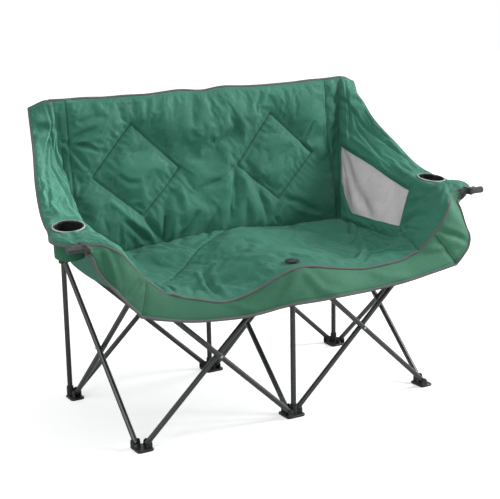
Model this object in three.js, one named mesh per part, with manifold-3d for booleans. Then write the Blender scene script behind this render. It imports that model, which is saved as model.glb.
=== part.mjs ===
// Folding camping loveseat: a steel scissor frame on six feet that carries a padded seat, back and arms.
// Millimetres, +Z up, +Y to the back, +X to the right of someone who faces the chair.
import * as THREE from 'three';
import { mergeVertices } from 'three/addons/utils/BufferGeometryUtils.js';
import Module from 'manifold-3d';

const wasm = await Module();
wasm.setup();

// Overall layout of the frame
const columnSpacing = 500;
const rowSpacing = 520;
const pivotInsetX = 20;
const pivotInsetY = 30;
const footPivotHeight = 21;
const pivotRise = 430;
const armReach = 172;
const fit = 0.3;
const cutOverrun = 2;
const weldDistance = 1e-4;
const slopeStep = 1e-3;

// Tubes and rivets
const tubeDiameter = 16;
const tubeWall = 1.2;
const tubeOverrun = 6;
const rivetDiameter = 5;
const rivetHeadDiameter = 9;
const rivetHeadHeight = 1.8;
const tubeSides = 10;
const rivetSides = 6;
const swingSides = 8;
const earSides = 4;
const toothSides = 4;

// Moulded feet, sliders and hubs
const footPlate = 7;
const footBevel = 1.5;
const footMargin = 12;
const footCorner = 11;
const earThickness = 3.5;
const earReach = 9;
const socketWall = 2.6;
const socketHeight = 30;
const sliderDiameter = 29;
const sliderBelow = 15;
const sliderAbove = 20;
const sliderClearance = 0.5;
const bridgeThickness = 4;
const postTopMargin = 12;
const capHeight = 6;
const capPlugLength = 18;
const capTopShare = 2 / 3;

// Seat fitting over the front centre hub
const fittingDiameter = 44;
const fittingHeight = 7;
const fittingStemDiameter = 10;
const fittingKnobDiameter = 20;
const fittingFlangeShare = 1 / 3;
const fittingShoulderShare = 2 / 3;
const fittingKnobShare = 2 / 3;

// Arm-tip fittings that hold a wine glass
const gripSleeveWall = 2.8;
const gripSleeveLength = 22;
const gripBarDiameter = 21;
const gripBarLength = 44;
const gripSlot = 10.5;
const gripJawThickness = 7;
const gripJawHeight = 14;
const gripBridge = 8;
const gripToothPitch = 7;
const gripToothDepth = 2.4;
const gripJawShare = 0.8;

// Back
const backHeight = 935;
const backAbovePole = 30;
const backBelowSeat = 4;
const backArmGap = 11.2;
const backTopFlare = 20;
const backRecline = 40;
const backReclineShare = 0.7;
const backThickness = 20;
const backEdge = 5;
const backSkin = 3;
const backAcrossSteps = 26;
const backUpSteps = 13;
const quiltDepth = 5;
const quiltWidth = 50;
const quiltCentre = 242;
const quiltHalfWidth = 150;
const quiltHalfHeight = 146;
const quiltCentreShare = 0.47;

// Seat
const seatInset = 12;
const seatFrontInset = 64;
const seatTaperShare = 0.5;
const seatAboveHub = 5;
const seatRise = 16;
const seatRearInset = 78;
const seatOverhang = 40;
const seatSag = 46;
const seatRearSagShare = 0.45;
const seatThickness = 20;
const seatEdge = 5;
const seatEdgeShare = 1 / 3;
const seatSkin = 3;
const seatGap = 0.8;
const seatAcrossSteps = 20;
const seatDeepSteps = 6;
const seatTuftWidth = 90;
const fittingLift = 1.5;

// Arm panels, each with a mesh window and a hole for its cup holder
const panelThickness = 9;
const armPoleGap = 5;
const armPastTip = 58;
const armRearInset = 13;
const armFrontOverhang = 53;
const armBelowSeat = 8;
const tipSetback = 12;
const meshThickness = 3;
const meshInsetShare = 0.003;
const windowRearShare = 0.025;
const windowFrontShare = 0.667;
const windowLowShare = 0.2;
const windowHighShare = 0.4;
const ringStationShare = 0.675;
const ringPlaceShare = 0.8;

// Apron
const apronThickness = 6;
const apronTieSteps = 10;
const apronAcrossSteps = 32;
const apronDownSteps = 2;
const apronReach = 104;
const apronLow = 366;
const apronRise = 234;

// Cup holders
const ringOuterDiameter = 92;
const ringHoleDiameter = 80;
const ringLip = 3;
const ringSink = 1.5;
const ringCollarWall = 2;
const ringDepth = 26;
const ringSides = 16;
const pouchDepth = 84;
const pouchWall = 2.5;
const pouchDrop = 14;
const pouchTaperShare = 0.92;

const halfRow = rowSpacing / 2;
const tubeRadius = tubeDiameter / 2;
const sideShift = tubeRadius + fit;
const hubPivotHeight = footPivotHeight + pivotRise;
const seatRearHeight = hubPivotHeight + seatAboveHub;
const backBottom = seatRearHeight - backBelowSeat;
const armBottom = seatRearHeight - armBelowSeat;
const armRise = backHeight - armBottom;
const poleTop = backHeight - backAbovePole;
const seatHalfWidth = columnSpacing - seatInset;
const seatFrontHalfWidth = columnSpacing - seatFrontInset;
const armInnerX = columnSpacing + armPoleGap;
const backHalfWidth = armInnerX - backArmGap;
const columns = { left: -columnSpacing, centre: 0, right: columnSpacing };
const rows = { front: -halfRow, back: halfRow };
const armRearY = rows.back - armRearInset;
const armDepth = armRearY - rows.front + armFrontOverhang;

const finishes = {
  steel: { color: 0x37383b, roughness: 0.35, metalness: 0.8 },
  moulding: { color: 0x151515, roughness: 0.5, metalness: 0 },
  rivet: { color: 0xc9cbcc, roughness: 0.3, metalness: 1 },
  grip: { color: 0x4a4b4e, roughness: 0.4, metalness: 0 },
  fabric: { color: 0x3c7a66, roughness: 0.85, metalness: 0 },
  mesh: { color: 0xa9a2a4, roughness: 0.9, metalness: 0 },
  ring: { color: 0xb9bbba, roughness: 0.45, metalness: 0 },
};

const chair = new THREE.Group();

function addPiece(name, geometry, finish) {
  const mesh = new THREE.Mesh(geometry, new THREE.MeshStandardMaterial(finishes[finish]));
  mesh.name = name;
  chair.add(mesh);
  return mesh;
}

// Booleans: a closed three.js mesh to a solid and back
function toSolid(geometry) {
  const bare = geometry.clone();
  bare.deleteAttribute('normal');
  bare.deleteAttribute('uv');
  const merged = mergeVertices(bare, weldDistance);
  const mesh = new wasm.Mesh({
    numProp: 3,
    vertProperties: new Float32Array(merged.attributes.position.array),
    triVerts: new Uint32Array(merged.index.array),
  });
  mesh.merge();
  return new wasm.Manifold(mesh);
}

function toGeometry(solid) {
  const mesh = solid.getMesh();
  const geometry = new THREE.BufferGeometry();
  geometry.setAttribute('position', new THREE.BufferAttribute(mesh.vertProperties, mesh.numProp));
  geometry.setIndex(new THREE.BufferAttribute(mesh.triVerts, 1));
  geometry.computeVertexNormals();
  return geometry;
}

function joinAll(solids) {
  return solids.reduce((whole, next) => whole.add(next));
}

function cutAll(solid, cutters) {
  return cutters.reduce((whole, next) => whole.subtract(next), solid);
}

// Bars, pipes and boxes from one point to another
const upward = new THREE.Vector3(0, 0, 1);

function point(x, y, z) {
  return new THREE.Vector3(x, y, z);
}

function along(geometry, from, to) {
  const direction = to.clone().sub(from).normalize();
  geometry.applyQuaternion(new THREE.Quaternion().setFromUnitVectors(upward, direction));
  geometry.translate(from.x, from.y, from.z);
  return geometry;
}

function rod(from, to, radius, sides, endRadius = radius) {
  const length = from.distanceTo(to);
  const geometry = new THREE.CylinderGeometry(endRadius, radius, length, sides);
  geometry.rotateX(Math.PI / 2);
  geometry.translate(0, 0, length / 2);
  return along(geometry, from, to);
}

// The radius at which a hole with flat sides clears a round bar of its own number of sides
function holeRadius(radius, sides) {
  return (radius + fit) / Math.cos(Math.PI / sides);
}

function pipe(from, to) {
  const section = new THREE.Shape();
  section.absarc(0, 0, tubeRadius, 0, 2 * Math.PI);
  const bore = new THREE.Path();
  bore.absarc(0, 0, tubeRadius - tubeWall, 0, 2 * Math.PI, true);
  section.holes.push(bore);
  const depth = from.distanceTo(to);
  const shape = { depth, bevelEnabled: false, curveSegments: tubeSides / 2 };
  return along(new THREE.ExtrudeGeometry(section, shape), from, to);
}

function block(low, high) {
  const size = high.clone().sub(low);
  const geometry = new THREE.BoxGeometry(size.x, size.y, size.z);
  const middle = low.clone().add(high).multiplyScalar(1 / 2);
  geometry.translate(middle.x, middle.y, middle.z);
  return geometry;
}

// A rivet's shank with a head at one or both ends, centred on the origin and lying along Y
function rivetSolid(width, headAtStart, headAtEnd) {
  const start = point(0, -width / 2, 0);
  const end = point(0, width / 2, 0);
  const parts = [toSolid(rod(start, end, rivetDiameter / 2, rivetSides))];
  const crown = rivetHeadDiameter / 3;
  if (headAtStart) {
    const outer = point(0, start.y - rivetHeadHeight, 0);
    parts.push(toSolid(rod(start, outer, rivetHeadDiameter / 2, rivetSides, crown)));
  }
  if (headAtEnd) {
    const outer = point(0, end.y + rivetHeadHeight, 0);
    parts.push(toSolid(rod(end, outer, rivetHeadDiameter / 2, rivetSides, crown)));
  }
  return joinAll(parts);
}

function settle(solid, outward, pivot) {
  const turn = THREE.MathUtils.radToDeg(Math.atan2(outward.y, outward.x));
  return solid.rotate([0, 0, turn]).translate([pivot.x, pivot.y, pivot.z]);
}

// The scissor tubes: each rises from a foot in one column and row to a hub in the next
const towards = {
  left: point(-1, 0, 0),
  right: point(1, 0, 0),
  front: point(0, -1, 0),
  back: point(0, 1, 0),
};

function tubeEnd(column, row, outward, side, height) {
  const inset = outward.x ? pivotInsetX : pivotInsetY;
  return point(columns[column], rows[row], height)
    .addScaledVector(outward, inset)
    .addScaledVector(side, sideShift);
}

function crossTube(name, foot, hub, heading, side, reach = 0) {
  const outward = towards[heading];
  const footPivot = tubeEnd(foot[0], foot[1], outward, side, footPivotHeight);
  const hubPivot = tubeEnd(hub[0], hub[1], outward.clone().negate(), side, hubPivotHeight);
  return { name, foot, hub, outward, side, footPivot, hubPivot, reach };
}

const crossTubes = [];
const outerSide = { front: towards.front, back: towards.back };
for (const row of ['front', 'back']) {
  for (const [left, right] of [['left', 'centre'], ['centre', 'right']]) {
    const pair = `${row}_${left === 'left' ? 'left' : 'right'}`;
    const leftReach = row === 'front' && left === 'left' ? armReach : 0;
    const rightReach = row === 'front' && right === 'right' ? armReach : 0;
    const outer = outerSide[row];
    const inner = outer.clone().negate();
    const [start, end] = [[left, row], [right, row]];
    crossTubes.push(crossTube(`tube_${pair}_leftward`, end, start, 'left', outer, leftReach));
    crossTubes.push(crossTube(`tube_${pair}_rightward`, start, end, 'right', inner, rightReach));
  }
}
for (const column of ['left', 'centre', 'right']) {
  const [front, back] = [[column, 'front'], [column, 'back']];
  crossTubes.push(crossTube(`tube_side_${column}_backward`, front, back, 'back', towards.left));
  crossTubes.push(crossTube(`tube_side_${column}_forward`, back, front, 'front', towards.right));
}

function tubeDirection(tube) {
  return tube.hubPivot.clone().sub(tube.footPivot).normalize();
}

function armLength(tube) {
  const direction = tubeDirection(tube);
  return tube.reach / Math.abs(direction.dot(tube.outward));
}

function tubeTip(tube) {
  const extra = tube.reach ? armLength(tube) : tubeOverrun;
  return tube.hubPivot.clone().addScaledVector(tubeDirection(tube), extra);
}

function drilled(solid, pivot, side) {
  const halfWidth = tubeRadius + cutOverrun;
  const start = pivot.clone().addScaledVector(side, -halfWidth);
  const end = pivot.clone().addScaledVector(side, halfWidth);
  return solid.subtract(toSolid(rod(start, end, holeRadius(rivetDiameter / 2, rivetSides), rivetSides)));
}

for (const tube of crossTubes) {
  const start = tube.footPivot.clone().addScaledVector(tubeDirection(tube), -tubeOverrun);
  let solid = toSolid(pipe(start, tubeTip(tube)));
  const crossing = tube.footPivot.clone().add(tube.hubPivot).multiplyScalar(1 / 2);
  for (const pivot of [tube.footPivot, crossing, tube.hubPivot]) {
    solid = drilled(solid, pivot, tube.side);
  }
  addPiece(tube.name, toGeometry(solid), 'steel');
}

// One rivet where each crossed pair passes, through both tubes
for (const tube of crossTubes.filter((each, index) => index % 2 === 0)) {
  const middle = tube.footPivot.clone().add(tube.hubPivot).multiplyScalar(1 / 2);
  middle.addScaledVector(tube.side, -sideShift);
  const grip = 2 * (sideShift + tubeRadius + fit);
  const rivet = settle(rivetSolid(grip, true, true), tube.outward, middle);
  const place = tube.name.replace('tube_', '').replace('_leftward', '').replace('_backward', '');
  addPiece(`rivet_${place}`, toGeometry(rivet), 'rivet');
}

// A clevis holds one tube's end between two ears. In its own frame X points away from the column and Y lies
// along the rivet
const tubeEndReach = Math.hypot(tubeOverrun, tubeRadius);
const swingRadius = tubeEndReach + fit;
const earFace = sideShift;
const clevisHalfWidth = earFace + earThickness;

function earSolid(lowEdge, highEdge, inner) {
  const outline = new THREE.Shape();
  if (lowEdge < -earReach) {
    outline.moveTo(-earReach, lowEdge);
    outline.lineTo(earReach, lowEdge);
    outline.absarc(0, 0, earReach, 0, Math.PI);
  } else {
    outline.moveTo(earReach, highEdge);
    outline.lineTo(-earReach, highEdge);
    outline.absarc(0, 0, earReach, Math.PI, 2 * Math.PI);
  }
  const shape = { depth: earThickness, bevelEnabled: false, curveSegments: earSides / 2 };
  const geometry = new THREE.ExtrudeGeometry(outline, shape);
  geometry.rotateX(Math.PI / 2);
  geometry.translate(0, inner + (inner > 0 ? earThickness : 0), 0);
  return toSolid(geometry);
}

function swingRoom(outward, pivot, upright) {
  const width = earFace;
  const discRadius = holeRadius(tubeEndReach, swingSides);
  const disc = toSolid(rod(point(0, -width, 0), point(0, width, 0), discRadius, swingSides));
  const depth = sliderBelow + cutOverrun;
  const low = point(-tubeRadius - fit, -width, upright ? 0 : -depth);
  const high = point(2 * swingRadius, width, upright ? depth : 0);
  return settle(disc.add(toSolid(block(low, high))), outward, pivot);
}

function footClevis(outward, pivot) {
  const base = footBevel - footPivotHeight;
  const ears = [earSolid(base, earReach, earFace), earSolid(base, earReach, -earFace)];
  return settle(joinAll(ears), outward, pivot);
}

function hubClevis(outward, pivot, bridgeReach) {
  const top = swingRadius + bridgeThickness;
  const ears = [earSolid(-earReach, top, earFace), earSolid(-earReach, top, -earFace)];
  const low = point(-bridgeReach, -clevisHalfWidth, swingRadius);
  const high = point(earReach, clevisHalfWidth, top);
  ears.push(toSolid(block(low, high)));
  return settle(joinAll(ears), outward, pivot);
}

function clevisRivet(outward, pivot) {
  return settle(rivetSolid(2 * clevisHalfWidth, true, true), outward, pivot);
}

const inward = (tube) => tube.outward.clone().negate();
const isAt = (end, column, row) => end[0] === column && end[1] === row;
const footTubes = (column, row) => crossTubes.filter((tube) => isAt(tube.foot, column, row));
const hubTubes = (column, row) => crossTubes.filter((tube) => isAt(tube.hub, column, row));
const hasUpright = (column, row) => row === 'back' || column === 'centre';

// Feet: a rounded plate that reaches past every pivot, ears for the tubes and a socket for an upright
function footPlateSolid(column, row) {
  const margin = footMargin + footBevel;
  let [lowX, lowY, highX, highY] = [-margin, -margin, margin, margin];
  for (const tube of footTubes(column, row)) {
    const away = tube.footPivot.clone().sub(point(columns[column], rows[row], 0));
    lowX = Math.min(lowX, away.x - footMargin);
    highX = Math.max(highX, away.x + footMargin);
    lowY = Math.min(lowY, away.y - footMargin);
    highY = Math.max(highY, away.y + footMargin);
  }
  [lowX, lowY, highX, highY] = [lowX + footBevel, lowY + footBevel, highX - footBevel, highY - footBevel];
  const corner = footCorner - footBevel;
  const outline = new THREE.Shape();
  outline.moveTo(lowX + corner, lowY);
  outline.absarc(highX - corner, lowY + corner, corner, -Math.PI / 2, 0);
  outline.absarc(highX - corner, highY - corner, corner, 0, Math.PI / 2);
  outline.absarc(lowX + corner, highY - corner, corner, Math.PI / 2, Math.PI);
  outline.absarc(lowX + corner, lowY + corner, corner, Math.PI, Math.PI * 3 / 2);
  const shape = { depth: footPlate - 2 * footBevel, bevelSize: footBevel, bevelThickness: footBevel };
  const geometry = new THREE.ExtrudeGeometry(outline, { ...shape, bevelSegments: 1, curveSegments: 2 });
  geometry.translate(columns[column], rows[row], footBevel);
  return toSolid(geometry);
}

function uprightAt(column, row, low, high, radius) {
  const [x, y] = [columns[column], rows[row]];
  return rod(point(x, y, low), point(x, y, high), radius, tubeSides);
}

const socketRadius = tubeRadius + fit + socketWall;
for (const row of ['front', 'back']) {
  for (const column of ['left', 'centre', 'right']) {
    const parts = [footPlateSolid(column, row)];
    const cuts = [];
    const rivets = [];
    if (hasUpright(column, row)) {
      parts.push(toSolid(uprightAt(column, row, footBevel, footPlate + socketHeight, socketRadius)));
      cuts.push(toSolid(uprightAt(column, row, footPlate, poleTop, holeRadius(tubeRadius, tubeSides))));
    }
    for (const tube of footTubes(column, row)) {
      parts.push(footClevis(tube.outward, tube.footPivot));
      cuts.push(swingRoom(tube.outward, tube.footPivot, true));
      rivets.push(clevisRivet(tube.outward, tube.footPivot));
    }
    const solid = joinAll([cutAll(joinAll(parts), cuts), ...rivets]);
    addPiece(`foot_${row}_${column}`, toGeometry(solid), 'moulding');
  }
}

// Uprights: three back poles with plugs in their tops, and the front centre post
for (const column of ['left', 'centre', 'right']) {
  const low = point(columns[column], rows.back, footPlate + fit);
  const high = point(columns[column], rows.back, poleTop);
  addPiece(`pole_back_${column}`, pipe(low, high), 'steel');
  const flatShare = Math.cos(Math.PI / tubeSides);
  const capRadius = tubeRadius * flatShare;
  const plugRadius = (tubeRadius - tubeWall - fit) * flatShare;
  const plug = [
    new THREE.Vector2(0, -capPlugLength),
    new THREE.Vector2(plugRadius, -capPlugLength),
    new THREE.Vector2(plugRadius, fit),
    new THREE.Vector2(capRadius, fit),
    new THREE.Vector2(capRadius, capHeight / 2),
    new THREE.Vector2(tubeRadius * capTopShare, capHeight),
    new THREE.Vector2(0, capHeight),
  ];
  const cap = new THREE.LatheGeometry(plug, tubeSides);
  cap.rotateX(Math.PI / 2);
  cap.translate(columns[column], rows.back, poleTop);
  addPiece(`pole_cap_${column}`, toGeometry(toSolid(cap)), 'moulding');
}
const postTop = hubPivotHeight + postTopMargin;
const postFoot = point(columns.centre, rows.front, footPlate + fit);
addPiece('post_front_centre', pipe(postFoot, point(columns.centre, rows.front, postTop)), 'steel');

// Sliders on the back poles, and the front centre hub, closed on top, that sits over the post
function hubSolid(column, row, closed) {
  const above = closed ? swingRadius + bridgeThickness : sliderAbove;
  const coreLow = hubPivotHeight - sliderBelow;
  const coreHigh = hubPivotHeight + above;
  const parts = [toSolid(uprightAt(column, row, coreLow, coreHigh, sliderDiameter / 2))];
  const boreTop = closed ? postTop + fit : coreHigh + cutOverrun;
  const bore = uprightAt(column, row, coreLow - cutOverrun, boreTop, tubeRadius + sliderClearance);
  const cuts = [toSolid(bore)];
  const rivets = [];
  for (const tube of hubTubes(column, row)) {
    const inset = tube.outward.x ? pivotInsetX : pivotInsetY;
    parts.push(hubClevis(inward(tube), tube.hubPivot, inset));
    cuts.push(swingRoom(inward(tube), tube.hubPivot, false));
    rivets.push(clevisRivet(inward(tube), tube.hubPivot));
  }
  return joinAll([cutAll(joinAll(parts), cuts), ...rivets]);
}

for (const column of ['left', 'centre', 'right']) {
  addPiece(`slider_back_${column}`, toGeometry(hubSolid(column, 'back', false)), 'moulding');
}
addPiece('hub_front_centre', toGeometry(hubSolid('centre', 'front', true)), 'moulding');

// Hubs on the arm tubes: a plate riveted to the tube that runs on to the arm, and a clevis for the side tube
const armTubes = crossTubes.filter((tube) => tube.reach);
for (const arm of armTubes) {
  const column = arm.hub[0];
  const side = hubTubes(column, 'front').find((tube) => !tube.reach);
  const plateFace = arm.hubPivot.y + earFace;
  const reach = side.hubPivot.y - plateFace;
  const lowX = Math.min(arm.hubPivot.x - earReach, side.hubPivot.x - clevisHalfWidth);
  const highX = Math.max(arm.hubPivot.x + earReach, side.hubPivot.x + clevisHalfWidth);
  const plateLow = point(lowX, plateFace, hubPivotHeight - earReach);
  const plateHigh = point(highX, plateFace + earThickness, hubPivotHeight + swingRadius + bridgeThickness);
  const body = toSolid(block(plateLow, plateHigh)).add(hubClevis(inward(side), side.hubPivot, reach));
  const cut = body.subtract(swingRoom(inward(side), side.hubPivot, false));
  const pinWidth = earFace + clevisHalfWidth;
  const armPin = rivetSolid(pinWidth, true, false);
  const pinMiddle = arm.hubPivot.clone();
  pinMiddle.y = arm.hubPivot.y + earThickness / 2;
  const solid = joinAll([
    cut,
    armPin.translate([pinMiddle.x, pinMiddle.y, pinMiddle.z]),
    clevisRivet(inward(side), side.hubPivot),
  ]);
  addPiece(`hub_front_${column}`, toGeometry(solid), 'moulding');
}

// Arm-tip fittings: a sleeve on the arm tube's end, and a round bar and a toothed jaw that hold a glass
// by its stem
for (const arm of armTubes) {
  const tip = tubeTip(arm);
  const outward = arm.outward.x;
  const direction = tubeDirection(arm);
  const sleeveStart = tip.clone().addScaledVector(direction, -gripSleeveLength);
  const sleeveRadius = tubeRadius + fit + gripSleeveWall;
  const plateStart = tip.x + outward * fit;
  const plateEnd = tip.x + outward * gripBridge;
  const barRadius = gripBarDiameter / 2;
  const barY = tip.y - gripSlot / 2 - barRadius;
  const jawY = tip.y + gripSlot / 2;
  const barEnd = plateEnd + outward * gripBarLength;
  const span = (a, b) => [Math.min(a, b), Math.max(a, b)];
  const [plateLow, plateHigh] = span(plateStart, plateEnd);
  const [jawLow, jawHigh] = span(plateStart, plateEnd + outward * gripBarLength * gripJawShare);
  const plate = block(
    point(plateLow, barY - barRadius, tip.z - barRadius),
    point(plateHigh, jawY + gripJawThickness, tip.z + barRadius),
  );
  const jaw = block(
    point(jawLow, jawY, tip.z - gripJawHeight / 2),
    point(jawHigh, jawY + gripJawThickness, tip.z + gripJawHeight / 2),
  );
  const bar = rod(point(plateStart, barY, tip.z), point(barEnd, barY, tip.z), barRadius, tubeSides);
  const sleeveEnd = tip.clone().addScaledVector(direction, fit + gripSleeveWall);
  const sleeve = rod(sleeveStart, sleeveEnd, sleeveRadius, tubeSides);
  const parts = [plate, jaw, bar, sleeve].map(toSolid);
  const boreStart = sleeveStart.clone().addScaledVector(direction, -cutOverrun);
  const boreEnd = tip.clone().addScaledVector(direction, fit);
  const bore = rod(boreStart, boreEnd, holeRadius(tubeRadius, tubeSides), tubeSides);
  const cuts = [toSolid(bore)];
  const jawTop = tip.z + gripJawHeight / 2;
  const jawLength = jawHigh - jawLow - gripBridge;
  const teeth = Math.floor(jawLength / gripToothPitch);
  for (let tooth = 1; tooth <= teeth; tooth += 1) {
    const x = plateEnd + outward * gripToothPitch * (tooth - 1 / 2);
    const from = point(x, jawY - cutOverrun, jawTop);
    const to = point(x, jawY + gripJawThickness + cutOverrun, jawTop);
    cuts.push(toSolid(rod(from, to, gripToothDepth, toothSides)));
  }
  addPiece(`arm_tip_${arm.hub[0]}`, toGeometry(cutAll(joinAll(parts), cuts)), 'grip');
}

// Fabric: a sheet with its own thickness to each side of a surface, with parts of the grid left open
function steps(count) {
  return Array.from({ length: count + 1 }, (unused, index) => index / count);
}

function surfaceNormal(surface, u, v) {
  const [u0, u1] = [Math.max(u - slopeStep, 0), Math.min(u + slopeStep, 1)];
  const [v0, v1] = [Math.max(v - slopeStep, 0), Math.min(v + slopeStep, 1)];
  const alongU = surface(u1, v).sub(surface(u0, v));
  const alongV = surface(u, v1).sub(surface(u, v0));
  return alongU.cross(alongV).normalize();
}

function sheet(surface, us, vs, front, back, isOpen = () => false) {
  const positions = [];
  for (const offset of [front, (u, v) => -back(u, v)]) {
    for (const u of us) {
      for (const v of vs) {
        const place = surface(u, v).addScaledVector(surfaceNormal(surface, u, v), offset(u, v));
        positions.push(place.x, place.y, place.z);
      }
    }
  }
  const layer = us.length * vs.length;
  const at = (i, j) => i * vs.length + j;
  const inside = (i, j) => i >= 0 && j >= 0 && i < us.length - 1 && j < vs.length - 1 && !isOpen(i, j);
  const faces = [];
  const wall = (a, b) => faces.push(b, a, a + layer, b, a + layer, b + layer);
  for (let i = 0; i < us.length - 1; i += 1) {
    for (let j = 0; j < vs.length - 1; j += 1) {
      if (!inside(i, j)) continue;
      const [a, b, c, d] = [at(i, j), at(i + 1, j), at(i + 1, j + 1), at(i, j + 1)];
      faces.push(a, b, c, a, c, d);
      faces.push(a + layer, c + layer, b + layer, a + layer, d + layer, c + layer);
      if (!inside(i, j - 1)) wall(a, b);
      if (!inside(i + 1, j)) wall(b, c);
      if (!inside(i, j + 1)) wall(c, d);
      if (!inside(i - 1, j)) wall(d, a);
    }
  }
  const geometry = new THREE.BufferGeometry();
  geometry.setAttribute('position', new THREE.BufferAttribute(new Float32Array(positions), 3));
  geometry.setIndex(faces);
  return geometry;
}

const smooth = (value) => {
  const t = Math.min(Math.max(value, 0), 1);
  return t * t * (3 - 2 * t);
};
const mix = (a, b, t) => a + (b - a) * t;
const crown = (t) => 1 - Math.abs(2 * t - 1) ** 8;
const even = (thickness) => () => thickness;
const isWithin = (value, low, high) => value >= low && value < high;

// Quilted back: leans forward towards the seat, crowned, with one stitched diamond in each half
const poleFront = rows.back - tubeRadius * Math.cos(Math.PI / tubeSides);
const backRearY = poleFront - fit - backSkin;
function backSurface(u, v) {
  const z = mix(backBottom, backHeight, v);
  const half = mix(backHalfWidth, backHalfWidth + backTopFlare, v);
  const y = backRearY - backRecline * (1 - smooth(v / backReclineShare));
  return point(mix(-half, half, u), y, z);
}

function quiltChannel(x, z) {
  const centreZ = mix(backBottom, backHeight, quiltCentreShare);
  const aside = Math.abs(Math.abs(x) - quiltCentre) / quiltHalfWidth;
  const away = aside + Math.abs(z - centreZ) / quiltHalfHeight;
  const distance = Math.abs(away - 1) * quiltHalfWidth * Math.SQRT1_2;
  return quiltDepth * Math.exp(-((2 * distance / quiltWidth) ** 2));
}

function backPadding(u, v) {
  const place = backSurface(u, v);
  const swell = crown(u) * crown(v);
  return backEdge + (backThickness - backEdge) * swell - quiltChannel(place.x, place.z) * swell;
}
const backAcross = steps(backAcrossSteps);
const backUp = steps(backUpSteps);
addPiece('back_pad', sheet(backSurface, backAcross, backUp, backPadding, even(backSkin)), 'fabric');

// Padded seat in a front and a rear half: it sags between the hubs and rises over the front centre hub
const seatRearY = rows.back - seatRearInset;
const seatFrontY = rows.front - seatOverhang;
const seatMiddleY = mix(seatRearY, seatFrontY, 1 / 2);
function seatSurface(u, y) {
  const forward = (seatRearY - y) / (seatRearY - seatFrontY);
  const taper = smooth((forward - seatTaperShare) / (1 - seatTaperShare));
  const half = mix(seatHalfWidth, seatFrontHalfWidth, taper);
  const x = mix(-half, half, u);
  const sag = seatSag * Math.sin(Math.PI * Math.abs(2 * u - 1)) ** 2 * mix(seatRearSagShare, 1, forward);
  return point(x, y, seatRearHeight + seatRise * smooth(forward) - sag);
}

const fittingPlace = point(columns.centre, rows.front, 0);
const stemHole = (low, high) => toSolid(rod(
  point(fittingPlace.x, fittingPlace.y, low),
  point(fittingPlace.x, fittingPlace.y, high),
  holeRadius(fittingStemDiameter / 2, rivetSides),
  rivetSides,
));

function seatHalf(name, rearY, frontY, frontEnd) {
  const surface = (u, v) => seatSurface(u, mix(frontY, rearY, v));
  const padding = (u, v) => {
    const edge = frontEnd ? smooth(v / seatEdgeShare) : smooth((1 - v) / seatEdgeShare);
    const place = surface(u, v);
    const away = Math.hypot(place.x - fittingPlace.x, place.y - fittingPlace.y);
    const tuft = smooth((away - fittingDiameter / 2) / seatTuftWidth);
    return seatEdge + (seatThickness - seatEdge) * crown(u) * edge * tuft;
  };
  const [across, deep] = [steps(seatAcrossSteps), steps(seatDeepSteps)];
  const solid = toSolid(sheet(surface, across, deep, padding, even(seatSkin)));
  const whole = frontEnd ? solid.subtract(stemHole(seatRearHeight - seatSag, poleTop)) : solid;
  return addPiece(name, toGeometry(whole), 'fabric');
}
seatHalf('seat_rear', seatRearY, seatMiddleY + seatGap / 2, false);
seatHalf('seat_front', seatMiddleY - seatGap / 2, seatFrontY, true);

// The black fitting on the seat, screwed through the padding to the front centre hub
const hubTop = hubPivotHeight + swingRadius + bridgeThickness;
const seatAtHub = seatSurface(1 / 2, rows.front).z + seatEdge;
const fittingBase = seatAtHub + fittingLift;
const fittingProfile = [
  new THREE.Vector2(0, hubTop + fit),
  new THREE.Vector2(fittingStemDiameter / 2, hubTop + fit),
  new THREE.Vector2(fittingStemDiameter / 2, fittingBase),
  new THREE.Vector2(fittingDiameter / 2, fittingBase),
  new THREE.Vector2(fittingDiameter / 2, fittingBase + fittingHeight * fittingFlangeShare),
  new THREE.Vector2(fittingKnobDiameter / 2, fittingBase + fittingHeight * fittingShoulderShare),
  new THREE.Vector2(fittingKnobDiameter / 2 * fittingKnobShare, fittingBase + fittingHeight),
  new THREE.Vector2(0, fittingBase + fittingHeight),
];
const fitting = new THREE.LatheGeometry(fittingProfile, tubeSides);
fitting.rotateX(Math.PI / 2);
fitting.translate(fittingPlace.x, fittingPlace.y, 0);
addPiece('seat_fitting', toGeometry(toSolid(fitting)), 'moulding');

// Arm panels, from the pole to the arm tip: each row of places runs from the seat's edge over the arm to
// its outer edge, as shares of the arm's flare outwards, its depth forwards and the panel's height
const armPanelShares = [
  [
    [-0.024, 0.073, 0.014], [0.015, 0.032, 0.23], [0.034, 0.018, 0.53],
    [0.054, 0.007, 0.784], [0.073, 0, 0.99], [0.376, -0.029, 0.934],
  ],
  [
    [-0.015, 0.136, 0], [0.015, 0.121, 0.199], [0.044, 0.113, 0.497],
    [0.132, 0.1, 0.616], [0.298, 0.104, 0.686], [0.483, 0.114, 0.727],
  ],
  [
    [-0.01, 0.279, -0.016], [0.024, 0.279, 0.168], [0.132, 0.279, 0.431],
    [0.229, 0.275, 0.501], [0.424, 0.275, 0.542], [0.644, 0.279, 0.556],
  ],
  [
    [-0.01, 0.439, -0.025], [0.044, 0.448, 0.127], [0.21, 0.439, 0.357],
    [0.337, 0.439, 0.419], [0.537, 0.439, 0.435], [0.761, 0.439, 0.421],
  ],
  [
    [-0.024, 0.618, -0.016], [0.102, 0.591, 0.078], [0.254, 0.6, 0.304],
    [0.376, 0.627, 0.361], [0.59, 0.632, 0.376], [0.873, 0.636, 0.347],
  ],
  [
    [-0.21, 0.805, 0.041], [-0.024, 0.805, 0.119], [0.229, 0.805, 0.279],
    [0.415, 0.796, 0.349], [0.688, 0.793, 0.361], [0.99, 0.789, 0.341],
  ],
  [
    [-0.288, 0.975, 0.045], [-0.063, 0.975, 0.131], [0.122, 0.98, 0.23],
    [0.278, 0.961, 0.296], [0.463, 0.9, 0.324], [0.78, 0.88, 0.329],
  ],
];
const lastStation = armPanelShares.length - 1;
const outerPlace = armPanelShares[0].length - 1;
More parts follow.
